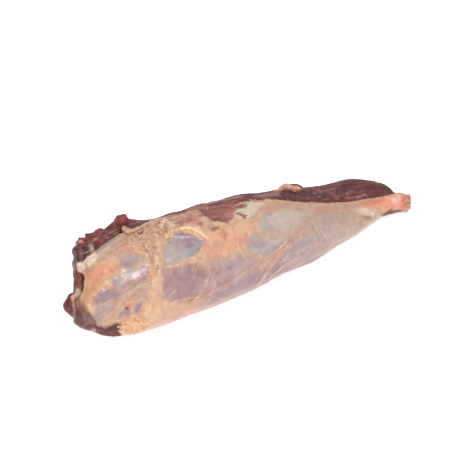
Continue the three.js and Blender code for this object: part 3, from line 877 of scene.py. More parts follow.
height = 0.9 * cloud(points, 0.03, 101)
stretched = points * [1.0, 1.0, 0.7] + 0.0025 * np.stack([shake[:, 0], shake[:, 1], shake[:, 0]], axis=1)
height += fat * lumpy * (1.2 * (lobules(stretched, 0.0085, 107) - 0.6) + 0.7 * cloud(points, 0.005, 109))
height += fat * (0.06 + 0.25 * lumpy) * (lobules(points, 0.0042, 113) - 0.5)
height += film * 0.3 * cloud(points * [0.6, 1, 1], 0.012, 127)
height -= 2.2 * furrow
height += hidden * bare * 1.2 * cloud(points * [0.22, 1, 1], 0.012, 133)
fibres = noise(points * [0.09, 1, 1], 0.0018, 131) + 0.7 * noise(points * [0.12, 1, 1], 0.0045, 137)
height += lean * (0.4 * fibres + 0.8 * cloud(points * [0.5, 1, 1], 0.011, 139))
ragged_end = smooth(-165, -195, mm[:, 0]) * smooth(0, 12, mm[:, 1] + 0.3 * mm[:, 0] + 62)
height += lean * ragged_end * (1.6 * cloud(points, 0.009, 151) - 0.5)
print("relief of the tissues from", round(float(height.min()), 1), "to", round(float(height.max()), 1), "mm")

# %% [markdown]
# Forms that can be pointed at in the photograph are set one by one: sunk windows, creases, ridges and lumps.
# A lump is a rounded rise round the skin point that a pixel shows, so it also carries round the outline.


# %% Single forms
def lump(x, y, reach, rise):
    """A rise of this many millimetres round the skin point under a pixel, fading out over the reach."""
    centre = points[seen_point(x, y)]
    return rise * np.exp(-((np.linalg.norm(points - centre, axis=1) * 1000 / reach) ** 2))


# each lump: (x, y, reach in mm, rise in mm)
LUMPS = [
    # lobes, clefts and outline of the cut end
    (76, 238, 6, 4.0), (82, 236, 4, 1.4), (91, 234, 4, -1.2), (99, 230, 4, 0.8), (107, 228, 5, -1.8),
    (121, 216, 5, 2.0), (113, 225, 3.5, -1.0), (129, 222, 3.5, -1.2), (63, 304, 5, 1.6), (68, 296, 6, -2.0),
    (64, 311, 6, 1.8), (73, 248, 8, 2.2), (73, 260, 8, 2.2), (74, 274, 8, 1.8), (76, 302, 4, -1.0),
    (90, 332, 6, -2.0),
    (172, 213, 11, 2.2), (188, 208, 11, 2.2), (202, 203, 9, 1.2),  # the crest, seen against the light
    # the seam of fat
    (158, 246, 4, 0.8), (155, 257, 3, 0.8), (160, 268, 3.5, 0.8), (157, 280, 3, 0.7), (163, 292, 4, 0.7),
    (158, 304, 4, 0.6),
    (79, 266, 5, 1.2), (88, 258, 4, 0.6),  # the end of the tendon
    # lobes and hollows of the pink fat
    (151, 224, 3.5, 1.6), (159, 221, 4, 1.8), (167, 226, 5, 2.0), (169, 234, 4, 1.5), (156, 231, 4, 1.0),
    (160, 226, 2.5, -1.5), (150, 229, 2.5, -1.2), (163, 233, 2.2, -1.4),
    (300, 188, 4, 1.6), (290, 186, 5, 2.0), (280, 188, 4, 1.2), (296, 191, 3, -1.5),  # tag on the crest
    (252, 200, 3, 1.2), (262, 203, 3, 1.0), (279, 204, 3, 1.2), (238, 214, 3, -0.6), (246, 205, 3, -0.6),
    # border of the orange fat, and the peach fat above it
    (92, 296, 4, 1.0), (97, 290, 3.5, 1.0), (103, 284, 3.5, 0.8), (87, 304, 3.5, 1.0), (92, 311, 4, 1.2),
    (132, 240, 4, 0.8), (140, 246, 3.5, 0.9), (127, 246, 3, 0.7), (146, 240, 4, 0.8),
    (408, 197, 4, 1.6), (408, 208, 4, 1.8), (402, 213, 3, 1.0), (404, 203, 3, -0.8),  # torn sinew
]
for lump_form in LUMPS:
    height += lump(*lump_form)
print("lumps set:", len(LUMPS))

# %% [markdown]
# Longer forms are drawn as the colours are, as regions and threads. A window of silverskin is sunk, a fold
# or a cord stands up, and a crease is a groove. The wet border of the orange fat gets a row of small lumps,
# because each of them catches a glint. The end behind the tendon's knob is lowered to the outline.


# %% Windows, ridges and grooves
def raise_all(*forms):
    """Adds forms to the relief. Each is (rise in mm, what draws it, what that is given)."""
    for rise, draw, *given in forms:
        height[:] += rise * draw(*given)


raise_all(
    (-2.6, region,
    [(171, 232), (196, 233), (205, 239), (196, 253), (176, 263), (165, 265), (164, 248)], 2.4, 1.0),
    (1.2, thread, [(174, 229), (182, 226), (194, 228), (203, 235)], 6, 4),
    (-0.8, region, [(119, 256), (139, 256), (138, 261), (130, 267), (120, 266)], 1.5),
    (-0.8, region, [(114, 320), (118, 312), (127, 308), (133, 313), (121, 322)], 1.5),
    (-0.8, region, [(136, 314), (137, 304), (142, 301), (144, 306), (139, 315)], 1.5),
    (-5.0, region, [(131, 231.5), (137, 230), (143, 227.5), (142, 233), (133, 235)], 1.0, 0.8),
    (1.6, thread, [(124, 224), (124, 229), (128, 233), (134, 229.5), (143, 226), (152, 222)], 2.2, 1.6, 0.5),
    (-0.9, thread, [(151, 260), (150, 272), (151, 290)], 1.4, 1.8),
    (1.0, thread, [(157, 240), (156, 252), (157, 266), (160, 280), (163, 296)], 4, 4),
    (0.8, thread, [(152.5, 278), (152, 287), (153, 296)], 1.4, 1.6),
)
wet_edge = [(121, 268), (117, 272), (113, 276), (110, 280), (107, 284), (103, 288), (100, 293), (97, 299),
    (94, 304), (91, 310)]
for x, y in wet_edge:
    for side in (-5.5, -2, 1.5):
        height += lump(x + side + 1.2 * math.sin(7 * y), y + side + 1.2 * math.cos(5 * x), 3.0, 1.5)
raise_all(
    (-1.2, thread, [(134, 236), (142, 241), (146, 250)], 1.8, 2.2),
    (-1.0, thread, [(158, 233), (164, 240), (170, 240)], 1.8, 2.2),
    (-1.5, thread, [(83, 303), (88, 313), (96, 322)], 2.0, 3),
    (-2.2, thread, [(79, 261), (88, 254), (101, 244), (115, 235), (121, 231)], 1.8, 1.6, 0.5),
    (1.4, thread, [(86, 265), (96, 256), (108, 246), (119, 237)], 6, 4),
    (-0.9, thread, [(86, 274), (94, 267), (104, 258), (116, 248), (126, 240)], 1.6, 2.6),
    (-1.4, thread, [(84, 239), (92, 237), (100, 236), (106, 233)], 2.0, 2.0),
    (-1.6, thread, [(82, 246), (84, 254), (80, 262)], 2.0, 2.0),
)
height -= 1.2 * behind_edge
raise_all(
    (0.8, thread, EDGE[21:], 2.0, 2.0),
    (-1.2, region, [(200, 209), (232, 206), (233, 219), (216, 221)], 1.5),
    (-2.0, lump, 81, 267, 1.6, 1.0),
    (-3.5, region, [(80, 273), (83, 276), (82, 291), (79, 290)], 1.2),
    (-2.0, region, [(126, 308), (128, 308), (128, 310), (126, 310)], 0.8),
)
for line, wide in ((CORDS["upper"], 1.8), (CORDS["middle"][:6], 2.8), (CORDS["lower"], 1.5)):
    height += 0.75 * thread(line, wide, 1.8, 1.2) * (1 + 0.6 * noise(points, 0.004, 149))
short_cords = 0.6 * thread([(262, 260), (268, 257), (273, 254)], 2.0, 1.6, 2.0)
short_cords += 0.5 * thread([(182, 300), (199, 297)], 1.6, 1.6)
height += short_cords
height += 0.5 * thread([(137, 285), (144, 285), (151, 282)], 1.0, 1.5)
for y_low in (303, 309, 315, 321):
    thin_skin = thread([(72, y_low), (80, y_low + 5), (90, y_low + 8)], 1.2, 1.6, 1.4)
    height += 0.7 * thin_skin * (share["mauve"] + share["tan"])
print("relief from", round(float(height.min()), 1), "to", round(float(height.max()), 1), "mm")

# %% [markdown]
# Near the tip the silverskin is slack. Each wrinkle there is a short groove with a low ridge beside it, and
# two sets of fine streaks cross between them.

# %% Wrinkles of the slack silverskin
WRINKLES = [
    ((306, 219), (309, 226)), ((315, 231), (318, 237)), ((322, 238), (329, 239)), ((344, 226), (350, 224)),
    ((335, 224), (332, 216)), ((303, 232), (307, 236)), ((329, 223), (324, 218)), ((338, 238), (345, 234)),
    ((310, 220), (316, 229)), ((313, 225), (319, 239)), ((318, 221), (323, 232)), ((320, 229), (326, 241)),
    ((326, 221), (331, 229)), ((329, 230), (335, 240)), ((333, 218), (338, 226)), ((337, 228), (342, 236)),
    ((307, 228), (312, 238)), ((341, 219), (345, 227)),
]
for start, end in WRINKLES:
    height -= 0.5 * thread([start, end], 0.7, 1.1, 1.2)
    height += 0.35 * thread([(start[0] + 1.6, start[1]), (end[0] + 1.6, end[1])], 0.7, 1.1, 1.2)
slack_film = film * region([(300, 214), (346, 210), (356, 228), (332, 248), (302, 242)], 6)
height += slack_film * (0.55 * (streaks(-58, 1.6, 11, 153) - 0.5) + 0.4 * (streaks(-28, 1.5, 9, 155) - 0.5))
for x in (74, 79, 84, 89):
    height += 1.1 * thread([(x - 1, 302 + (x - 74)), (x + 1, 312 + (x - 74)), (x + 6, 323)], 1.0, 1.4, 1.2)
behind_knob = smooth(-212, -196, mm[:, 0]) * smooth(-146, -160, mm[:, 0])
height -= 5.0 * behind_knob * smooth(24, 40, mm[:, 1]) * smooth(66, 78, mm[:, 2])
print("relief from", round(float(height.min()), 1), "to", round(float(height.max()), 1), "mm")

# %% [markdown]
# Colour follows relief. The creases are laid darker and redder, which is painted shade, and what stands out
# is laid paler, which is painted light.

# %% Painted shade in the creases and painted light on the tops
hollow = spread(spread(height, 2), 10) - spread(height, 2)
lay("pink", fat * smooth(0.08, 0.45, hollow), 0.55)
lay("dark", (fat + 0.5 * film) * smooth(0.2, 0.9, hollow), 0.3)
lay("dark", lean * smooth(0.15, 0.7, hollow), 0.5)
lay("butter", fat * smooth(0.08, 0.4, -hollow), 0.35)
print("creases:", int((hollow > 0.2).sum()), "points")

# %% [markdown]
# Where the meat lies on the table it is pressed flat, so the relief fades out there and no point goes below
# the table.

# %% Move the skin
PRESSED = 0.004  # metres above the table over which the relief fades in
resting = smooth(0.0, PRESSED, points[:, 2])
moved = points + normals * (spread(height, 1) * resting / 1000)[:, None]
moved[:, 2] = np.maximum(moved[:, 2], np.minimum(points[:, 2], 0.0))
normals = normals_of(moved)
skin_mesh.polygons.foreach_set("use_smooth", [True] * len(skin_mesh.polygons))


def store_shares(mesh, shares):
    """Keeps the share of each tissue on the points of a mesh, where the finish can read it."""
    for name in NAMES:
        layer = mesh.attributes.new(name, "FLOAT", "POINT")
        layer.data.foreach_set("value", np.asarray(shares[name], np.float32))


store_shares(skin_mesh, share)
skin_mesh.update()


def place_piece(name, mesh):
    """Puts a mesh in the scene as a piece of the meat."""
    piece = bpy.data.objects.new(name, mesh)
    bpy.context.scene.collection.objects.link(piece)
    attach(piece, "root")
    return piece


veal = place_piece("veal", skin_mesh)
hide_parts("veal_roast")
print("skin moved;", len(skin_mesh.attributes), "attributes")

# %% [markdown]
# ## The finish of raw veal
# Raw meat is wet tissue. Light goes a few millimetres into it and comes out redder, and the film of juice on
# top gives small sharp glints. That is a Principled shader with subsurface scattering and a thin smooth coat.
# Its IOR is that of tissue and water, about 1.38. The base colour adds up the tissues by their shares. Each
# tissue has a darker and a lighter colour, mixed by noise of that tissue's own grain.

# %% Colours and grain of each tissue
# name: (darker, lighter, grain in millimetres, roughness)
TISSUES = {
    "lean": ("42262a", "6d4546", 3.0, 0.62),  # bare muscle, dark where it has dried a little
    "fresh": ("752f2d", "9a4c46", 3.0, 0.48),  # muscle that was cut a short time ago
    "dark": ("33191a", "4e2c2b", 3.0, 0.62),  # dried dark lean, and painted shade in creases, hollows and under overhangs
    "peach": ("ad846c", "cfaa91", 9.0, 0.34),  # soft fat
    "orange": ("bb8762", "d9ac8a", 10.0, 0.28),  # soft fat with blood in it
    "coral": ("cb7a62", "e39c82", 4.0, 0.34),  # fat with fresh blood in it
    "pink": ("aa7062", "c99184", 7.0, 0.34),  # fat and sinew with a thin red film
    "butter": ("cfa37a", "e6c49c", 5.0, 0.34),  # yellow fat
    "tallow": ("b4a08c", "d4c6b7", 4.0, 0.36),  # white fat and fascia
    "mauve": ("876a72", "9e8287", 9.0, 0.28),  # thin silverskin over lean
    "blue": ("858189", "9e9aa1", 9.0, 0.27),  # tight silverskin
    "grey_green": ("9a968a", "b4aea2", 10.0, 0.30),  # thick silverskin
    "tan": ("a48b79", "bba28f", 9.0, 0.33),  # thick silverskin with fat under it
    "sinew": ("c8ad9c", "e8d3c6", 5.0, 0.26),  # tendon
}
print(len(TISSUES), "tissues, all laid:", set(TISSUES) == set(NAMES))

# %% [markdown]
# The shares were stored on the mesh points, so an Attribute node reads each one. A chain of multiply-and-add
# nodes sums colour times share, and another sums roughness times share.

# %% Base colour and roughness
raw_veal = add_material("raw_veal")
nodes = raw_veal.node_tree
place = add_node(nodes, "ShaderNodeTexCoord").outputs["Object"]
share_socket = {}
colour_sum, rough_sum = None, None
for name, (darker, lighter, grain, rough) in TISSUES.items():
    amount = add_node(nodes, "ShaderNodeAttribute", {"attribute_name": name}).outputs["Fac"]
    share_socket[name] = amount
    mottle = add_node(
        nodes,
        "ShaderNodeTexNoise",
        links={"Vector": place, "Scale": 1000 / grain, "Detail": 4.0, "Roughness": 0.6, "Distortion": 0.6},
    )
    spots = add_node(
        nodes, "ShaderNodeMapRange", links={"Value": mottle.outputs["Fac"], "From Min": 0.3, "From Max": 0.7}
    )
    tint = add_node(
        nodes,
        "ShaderNodeMix",
        {"data_type": "RGBA"},
        {0: spots.outputs[0], 6: (*colour(darker), 1), 7: (*colour(lighter), 1)},
    )
    colour_sum = add_node(
        nodes,
        "ShaderNodeVectorMath",
        {"operation": "MULTIPLY_ADD"},
        {0: tint.outputs[2], 1: amount, 2: colour_sum or (0, 0, 0)},
    ).outputs[0]
    rough_sum = add_node(
        nodes, "ShaderNodeMath", {"operation": "MULTIPLY_ADD"}, {0: amount, 1: rough, 2: rough_sum or 0.0}
    ).outputs[0]
print("nodes so far:", len(nodes.nodes))

# %% [markdown]
# ## Fine relief of the finish
# Relief below a millimetre and a half is too fine for the net, so it is a bump. Fat has small round lobules,
# lean has fibres of about 1 mm (drawn coarser than the real 0.1 mm, to show), and silverskin has hair-fine
# wrinkles. Each is weighted by the share of its own tissue.


# %% Bump of lobules, fibres and wrinkles
def total_share(*names):
    """The summed share of some tissues."""
    total = share_socket[names[0]]
    for name in names[1:]:
        total = add_node(nodes, "ShaderNodeMath", {}, {0: total, 1: share_socket[name]}).outputs[0]
    return total


fat_grain = add_node(
    nodes, "ShaderNodeTexNoise", links={"Vector": place, "Scale": 1000 / 3.5, "Detail": 2.0, "Distortion": 1.2}
)
fibre_place = add_node(nodes, "ShaderNodeMapping", links={"Vector": place, "Scale": (0.08, 1.0, 1.0)})
fibre_grain = add_node(
    nodes, "ShaderNodeTexNoise", links={"Vector": fibre_place.outputs[0], "Scale": 1000 / 1.1, "Detail": 3.0}
)
slack_place = add_node(nodes, "ShaderNodeMapping", links={"Vector": place, "Scale": (1.0, 0.35, 0.35)})
wrinkle_grain = add_node(
    nodes, "ShaderNodeTexNoise", links={"Vector": slack_place.outputs[0], "Scale": 1000 / 2.5, "Detail": 4.0}
)
bump_sum = 0.0
for grain_height, tissues, strength in (
    (fat_grain.outputs["Fac"], ("peach", "orange", "pink", "coral", "butter", "tallow"), 1.6),
    (fibre_grain.outputs["Fac"], ("lean", "fresh", "dark"), 1.3),
    (wrinkle_grain.outputs["Fac"], ("mauve", "blue", "grey_green", "tan", "sinew"), 0.8),
):
    scaled = add_node(nodes, "ShaderNodeMath", {"operation": "MULTIPLY"}, {0: grain_height, 1: strength})
    bump_sum = add_node(
        nodes,
        "ShaderNodeMath",
        {"operation": "MULTIPLY_ADD"},
        {0: scaled.outputs[0], 1: total_share(*tissues), 2: bump_sum},
    ).outputs[0]
bump = add_node(nodes, "ShaderNodeBump", links={"Strength": 0.7, "Distance": 0.0006, "Height": bump_sum})
print("bump of", len(nodes.nodes), "nodes so far")

# %% [markdown]
# Bare lean dries fast, while fat and silverskin stay wet. So the coat has a weight of a half over fat and
# is almost gone over lean, which looks matt beside them. Red light goes deepest into tissue, about 2 mm.

# %% The wet surface
dried = total_share("lean", "fresh", "dark")
WET, WET_LESS_WHERE_DRIED = 0.5, -0.44
wetness = add_node(
    nodes, "ShaderNodeMath", {"operation": "MULTIPLY_ADD"}, {0: dried, 1: WET_LESS_WHERE_DRIED, 2: WET}
).outputs[0]

wet_tissue = add_node(
    nodes,
    "ShaderNodeBsdfPrincipled",
    {"subsurface_method": "RANDOM_WALK"},
    {
        "Base Color": colour_sum,
        "Roughness": rough_sum,
        "IOR": 1.38,
        "Specular IOR Level": 0.3,
        "Subsurface Weight": 0.15,
        "Subsurface Radius": (1.0, 0.45, 0.3),
        "Subsurface Scale": 0.002,
        "Coat Weight": wetness,
        "Coat Roughness": 0.11,
        "Coat IOR": 1.33,
        "Normal": bump.outputs[0],
    },
)
add_node(nodes, "ShaderNodeOutputMaterial", links={"Surface": wet_tissue.outputs[0]})
skin_mesh.materials.append(raw_veal)
print("raw_veal has", len(nodes.nodes), "nodes")

# %% [markdown]
# ## Threads that lie on the skin
# A vessel, a fold's rim or a fibre of fascia is thinner than the net of the skin can show. Each is a thin
# tube of its own, laid on the skin: a ray from the camera through a pixel of the photograph finds the place,
# and the tube is sunk a little way in, because real threads are grown into the tissue below.


# %% Find the skin and lay tubes on it
skin_tree = BVHTree.FromPolygons([tuple(p) for p in moved], [tuple(f.vertices) for f in skin_mesh.polygons])
dice = np.random.default_rng(7)


def on_skin(x, y):
    """The place and normal of the skin under a pixel, or at the nearest point in sight if the ray misses."""
    ray = -toward_camera + (
        picture_right * (x - FRAME_PIXELS / 2) - picture_up * (y - FRAME_PIXELS / 2)
    ) / PIXELS_PER_TANGENT
    hit, normal, _, _ = skin_tree.ray_cast(camera_place, ray.normalized())
    if hit is None:
        k = seen_point(x, y)
        hit, normal = moved[k], normals[k]
    return np.array(hit), np.array(normal)


PIXEL_ON_MEAT = 0.0012  # metres of meat that one pixel shows
TUBE_STEP = 0.0009  # metres between the rings of a tube
DEPTH_JUMP = 0.005  # a longer step in metres means that the path has left the surface it was on


def ease(row, rounds):
    """Evens out a row of places in place, with its ends kept."""
    for _ in range(rounds):
        row[1:-1] = 0.25 * row[:-2] + 0.5 * row[1:-1] + 0.25 * row[2:]


def tube(path, radius, sunk=0.35, uneven=0.35, sides=8):
    """Points and faces of a tube along a path of pixels. Radius in millimetres: one, or several along it."""
    path = np.array(path, float)
    radii = np.atleast_1d(radius) / 1000
    run = np.concatenate([[0], np.cumsum(np.linalg.norm(np.diff(path, axis=0), axis=1))])
    marks = np.linspace(0, run[-1], max(4, int(run[-1] * PIXEL_ON_MEAT / TUBE_STEP)))
    wander = np.stack(
        [noise(np.stack([marks / 6, marks * 0 + seed, marks * 0], 1), 1.0, seed) for seed in (3, 5)], 1
    )
    spots = np.stack([np.interp(marks, run, path[:, k]) for k in (0, 1)], axis=1) + 0.45 * wander
    ease(spots, 3)
    seats, ups = (np.array(v) for v in zip(*(on_skin(x, y) for x, y in spots)))
    breaks = np.flatnonzero(np.linalg.norm(np.diff(seats, axis=0), axis=1) > DEPTH_JUMP) + 1
    whole = max(np.split(np.arange(len(marks)), breaks), key=len)  # the longest stretch without a jump
    marks, seats, ups = marks[whole], seats[whole], ups[whole]
    ease(seats, 2)
    ease(ups, 2)
    ups /= np.linalg.norm(ups, axis=1, keepdims=True)
    ahead = np.gradient(seats, axis=0)
    ahead /= np.linalg.norm(ahead, axis=1, keepdims=True)
    side = np.cross(ahead, ups)
    side /= np.linalg.norm(side, axis=1, keepdims=True)
    lumpiness = noise(np.stack([marks / 2.2, marks * 0, marks * 0], 1), 1.0, 9)
    thick = np.interp(marks, np.linspace(0, run[-1], len(radii)), radii) * (1 + uneven * lumpiness)
    taper = np.sin(np.clip(np.minimum(marks - marks[0], marks[-1] - marks) / 2.5, 0, 1) * np.pi / 2) ** 0.5
    thick *= 0.25 + 0.75 * taper
    middle = seats + ups * ((1 - 2 * sunk) * thick)[:, None]
    angles = np.arange(sides) * 2 * np.pi / sides
    around = np.cos(angles)[None, :, None] * side[:, None] + np.sin(angles)[None, :, None] * ups[:, None]
    ring_points = (middle[:, None] + thick[:, None, None] * around).reshape(-1, 3)
    tips = middle[:1] - ahead[:1] * thick[0], middle[-1:] + ahead[-1:] * thick[-1]
    places = np.concatenate([ring_points, *tips])
    last, first_end, last_end = len(marks) - 1, len(ring_points), len(ring_points) + 1
    faces = []
    for ring in range(last):
        for k in range(sides):
            a, b = ring * sides + k, ring * sides + (k + 1) % sides
            faces.append((a, a + sides, b + sides, b))
    for k in range(sides):
        faces.append((first_end, k, (k + 1) % sides))
        faces.append((last_end, last * sides + (k + 1) % sides, last * sides + k))
    return places, faces


def join(shapes):
    """One mesh's points and faces from several."""
    places, faces, start = [], [], 0
    for shape_places, shape_faces in shapes:
        places.append(shape_places)
        faces += [tuple(k + start for k in face) for face in shape_faces]
        start += len(shape_places)
    return np.concatenate(places), faces


OFF_TABLE = 0.0003  # metres that a loose bit stays above the table


def add_tissue_piece(name, places, faces, tissues):
    """A piece in the finish of raw veal. Tissues: the base, then (tissue, amount, grain in mm) over it."""
    places = np.asarray(places, float)
    places[:, 2] = np.maximum(places[:, 2], OFF_TABLE)
    shares = {tissue: np.zeros(len(places)) for tissue in NAMES}
    shares[tissues[0]][:] = 1
    for turn, (tissue, amount, grain) in enumerate(tissues[1:]):
        lay(tissue, smooth(-0.1, 0.35, cloud(places, grain / 1000, 300 + turn)), amount, shares)
    mesh = bpy.data.meshes.new(name)
    mesh.from_pydata([tuple(p) for p in places], [], faces)
    mesh.polygons.foreach_set("use_smooth", [True] * len(mesh.polygons))
    store_shares(mesh, shares)
    mesh.materials.append(raw_veal)
    mesh.update()
    return place_piece(name, mesh)


print("a test ray lands at", on_skin(230, 240)[0].round(3))

# %% [markdown]
# The vessels of the front have fat round them in uneven cords, so these tubes have unequal radii and are sunk
# by half. The covering ends in a thin rolled rim. Fibres of fascia are under a millimetre and nearly white.

# %% Vessels, rim and fascia
# each cord: (path in pixels, radii along it in mm, share that is sunk, unevenness)
VESSELS = [
    ([(174, 302), (181, 298.5), (190, 298)], [0.25, 0.5, 0.25], 0.35, 0.8),
    ([(188, 299), (198, 297.5), (208, 294)], [0.3, 0.7, 0.3], 0.35, 0.9),
    ([(206, 294), (218, 288.5), (231, 281), (240, 275)], [0.2, 0.28, 0.28, 0.2], 0.5, 0.6),
    ([(238, 276), (249, 269), (262, 260.5)], [0.2, 0.28, 0.3], 0.5, 0.6),
    ([(260, 261), (266, 258), (273, 253.5)], [0.3, 0.7, 0.5], 0.35, 0.9),
    ([(270, 255), (277, 250), (286, 244.5)], [0.4, 0.8, 0.6], 0.35, 0.9),
    (CORDS["middle"][:5], [0.3, 0.7, 0.9, 0.8, 0.6], 0.6, 0.5),
    ([(281, 252), (287, 245.5), (291, 242)], [0.4, 0.8, 0.4], 0.35, 0.8),
    ([(290, 243), (300, 235.5), (308, 231)], [0.4, 0.4, 0.2], 0.35, 0.5),
    (CORDS["lower"][:4], [0.25, 0.45, 0.35, 0.2], 0.55, 0.5),
    ([(182, 299), (190, 301), (198, 298), (205, 296)], [0.2, 0.5, 0.6, 0.2], 0.35, 0.8),
]
RIM = [
    ([(264, 199.8), (280, 200.6), (300, 202.6), (328, 204)], [0.3, 0.6, 0.7, 0.6], 0.5, 0.5),
    ([(326, 204), (346, 203), (369, 199.6), (384, 197)], [0.6, 0.7, 0.6, 0.3], 0.5, 0.5),
]
add_tissue_piece(
    "vessel_cords",
    *join([tube(*cord) for cord in VESSELS]),
    ["peach", ("pink", 0.8, 6), ("coral", 0.25, 5), ("tallow", 0.4, 3)],
)
add_tissue_piece(
    "rim_of_the_covering",
    *join([tube(*cord) for cord in RIM]),
    ["peach", ("tallow", 0.4, 8), ("pink", 0.6, 5)],
)
FASCIA = [
    [(237, 243), (240, 249), (245, 258)], [(199, 296), (206, 281)], [(202, 294), (208, 279)],
    [(168, 297), (176, 290)], [(208, 262), (210, 272), (205, 284), (200, 294)], [(262, 252), (270, 246)],
    [(218, 276), (224, 268)], [(127, 303.5), (136, 302), (146, 299)], [(121, 296), (130, 291), (140, 286)],
    [(100, 306), (109, 301), (120, 296)], [(103, 320), (112, 312), (122, 303)],
    [(131, 291), (138, 285), (150, 277)], [(112, 291), (122, 283), (134, 275)], [(283, 262), (290, 258)],
    [(137, 286), (144, 285), (151, 282)], [(152.5, 281), (152, 287), (152.5, 294)],
    [(288, 262), (300, 256), (312, 250)],
]
add_tissue_piece(
    "fascia_threads",
    *join([tube(line, [0.15, 0.32, 0.3, 0.15], sunk=0.3, sides=6) for line in FASCIA]),
    ["tallow", ("peach", 0.8, 6)],
)
print("threads laid on the skin")

# %% [markdown]
# ## Clumps: crumbs of fat, torn sinew, lobes
# Where a knife or fingers tore the tissue, it breaks up into lumps. A clump is a heap of uneven balls, grown
# together by a fine voxel remesh and roughened, with its foot sunk into the skin.


# %% Grow a clump from a heap of balls
def clump(name, balls, tissues, voxel=0.0006, rough=0.35, grain=2.5, melt=3):
    """Balls: (place in metres, radius in mm, three stretches). Rough: relief in mm. Melt: rounds of smoothing."""
    heap = bmesh.new()
    for place, radius, stretch in balls:
        made = bmesh.ops.create_icosphere(heap, subdivisions=3, radius=1.0)["verts"]
        for point in made:
            point.co = Vector(place) + Vector(tuple(radius / 1000 * s * c for s, c in zip(stretch, point.co)))
    rough_mesh = bpy.data.meshes.new("heap")
    heap.to_mesh(rough_mesh)
    heap.free()
    holder = bpy.data.objects.new("heap", rough_mesh)
    bpy.context.scene.collection.objects.link(holder)
    grown = holder.modifiers.new("grown", "REMESH")
    grown.mode = "VOXEL"
    grown.voxel_size = voxel
    soft = holder.modifiers.new("soft", "SMOOTH")
    soft.factor, soft.iterations = 0.5, melt
    shape = bpy.data.meshes.new_from_object(holder.evaluated_get(bpy.context.evaluated_depsgraph_get()))
    bpy.data.objects.remove(holder)
    places = np.array([v.co for v in shape.vertices])
    outward = np.array([v.normal for v in shape.vertices])
    faces = [tuple(f.vertices) for f in shape.polygons]
    bumps = 2 * lobules(places, grain / 1000, 311) - 1 + 0.7 * cloud(places, grain / 2500, 313)
    places = places + outward * (rough / 1000 * bumps)[:, None]
    bpy.data.meshes.remove(shape)
    return add_tissue_piece(name, places, faces, tissues)


def heap_on(spots, lift=0.3, stretched=0.25):
    """Balls at (x, y, radius in mm) on the skin, lifted off it by a share of the radius."""
    balls = []
    for x, y, radius in spots:
        place, up = on_skin(x, y)
        stretch = tuple(dice.uniform(1 - stretched, 1 + stretched, 3))
        balls.append((place + up * (lift * radius / 1000), radius, stretch))
    return balls


def along(path, radii, gap=1.0, jitter=0.25, uneven=0.15):
    """Balls close together along a path of pixels, so that they grow into one uneven roll."""
    path = np.array(path, float)
    run = np.concatenate([[0], np.cumsum(np.linalg.norm(np.diff(path, axis=0), axis=1))])
    marks = np.arange(0, run[-1], gap)
    spots = np.stack([np.interp(marks, run, path[:, k]) for k in (0, 1)], 1)
    spots += jitter * dice.normal(size=(len(marks), 2))
    sizes = np.interp(marks, np.linspace(0, run[-1], len(radii)), radii)
    sizes *= dice.uniform(1 - uneven, 1 + uneven, len(marks))
    return [(x, y, size) for (x, y), size in zip(spots, sizes)]


crumb_spots = []
while len(crumb_spots) < 90:
    x, y = dice.uniform(116, 152), dice.uniform(315, 337)
    off = math.hypot((x - 133.5 - 0.2 * (326 - y)) / 15.5, (y - 326.5) / 8.5)
    if off < 1:
        crumb_spots.append((x, y, dice.uniform(1.6, 4.2) * (1.1 - 0.6 * off)))
clump("fat_crumbs", heap_on(crumb_spots, -0.45), ["butter", ("orange", 0.8, 7), ("coral", 0.35, 4)],
    rough=0.35, grain=3.2)
print("crumbs:", len(crumb_spots))

# %% [markdown]
# The knife left three such places: the pulled end of the sinew at the tip, a tag of fat on the crest, and lobes
# of fresh red lean along the top of the cut end. Each is a heap of listed balls, with the larger balls where
# the photograph shows the larger lumps.

# %% Torn sinew, the tag on the crest, and the lobes of lean at the cut end
sinew_spots = [(408, 196.5, 3.0), (409.5, 200, 2.6), (409, 204, 2.8), (409, 208, 2.6), (407, 211, 2.4),
    (404, 198, 2.6)]
sinew_spots += [(405, 212, 1.8), (409.5, 211, 1.3), (410, 198, 1.5), (402, 207, 1.8), (406, 205, 2.0)]
clump("torn_sinew", heap_on(sinew_spots, 0.1),
    ["pink", ("coral", 0.6, 6), ("fresh", 0.5, 4), ("tallow", 0.7, 4)], rough=0.4)
tag_spots = along([(276, 191), (283, 189), (290, 187.5), (296, 188.5), (302, 189.5)],
    [1.8, 3.8, 4.2, 3.6, 2.0], 1.5, 0.5)
clump("tag_on_the_crest", heap_on(tag_spots, 0.05), ["pink", ("coral", 0.6, 7), ("tallow", 0.6, 5)], rough=0.3)
lean_spots = along([(78, 237.5), (84, 235.5), (90, 234.5)], [2.6, 3.2, 2.4], 1.4, 0.5)
lean_spots += along([(94, 233), (98, 230.5), (104, 229.5)], [2.0, 3.0, 2.4], 1.4, 0.5)
lean_spots += along([(106, 229), (110, 227), (113, 223.5)], [2.2, 2.8, 2.2], 1.4, 0.5)
lean_spots += [(119, 219, 5.6), (123, 218.5, 5.8), (121, 222, 5.0), (126.5, 221, 4.0), (117, 222, 4.0)]
clump(
    "lobes_of_lean",
    heap_on(lean_spots, -0.1),
    ["fresh", ("lean", 0.5, 8), ("coral", 0.1, 4), ("dark", 0.3, 4)],
    voxel=0.0008, rough=0.25, grain=5,
)

# %% [markdown]
# Soft fat above the window was pulled about by hand. It made a thin curl over a hollow, a smooth yellow flap,
# small strings and larger pink lobes. A roll is a row of balls along a path. The more rounds of smoothing it
# gets, the more it looks like fat that has warmed and run together, and the fewer, the more like torn fat.

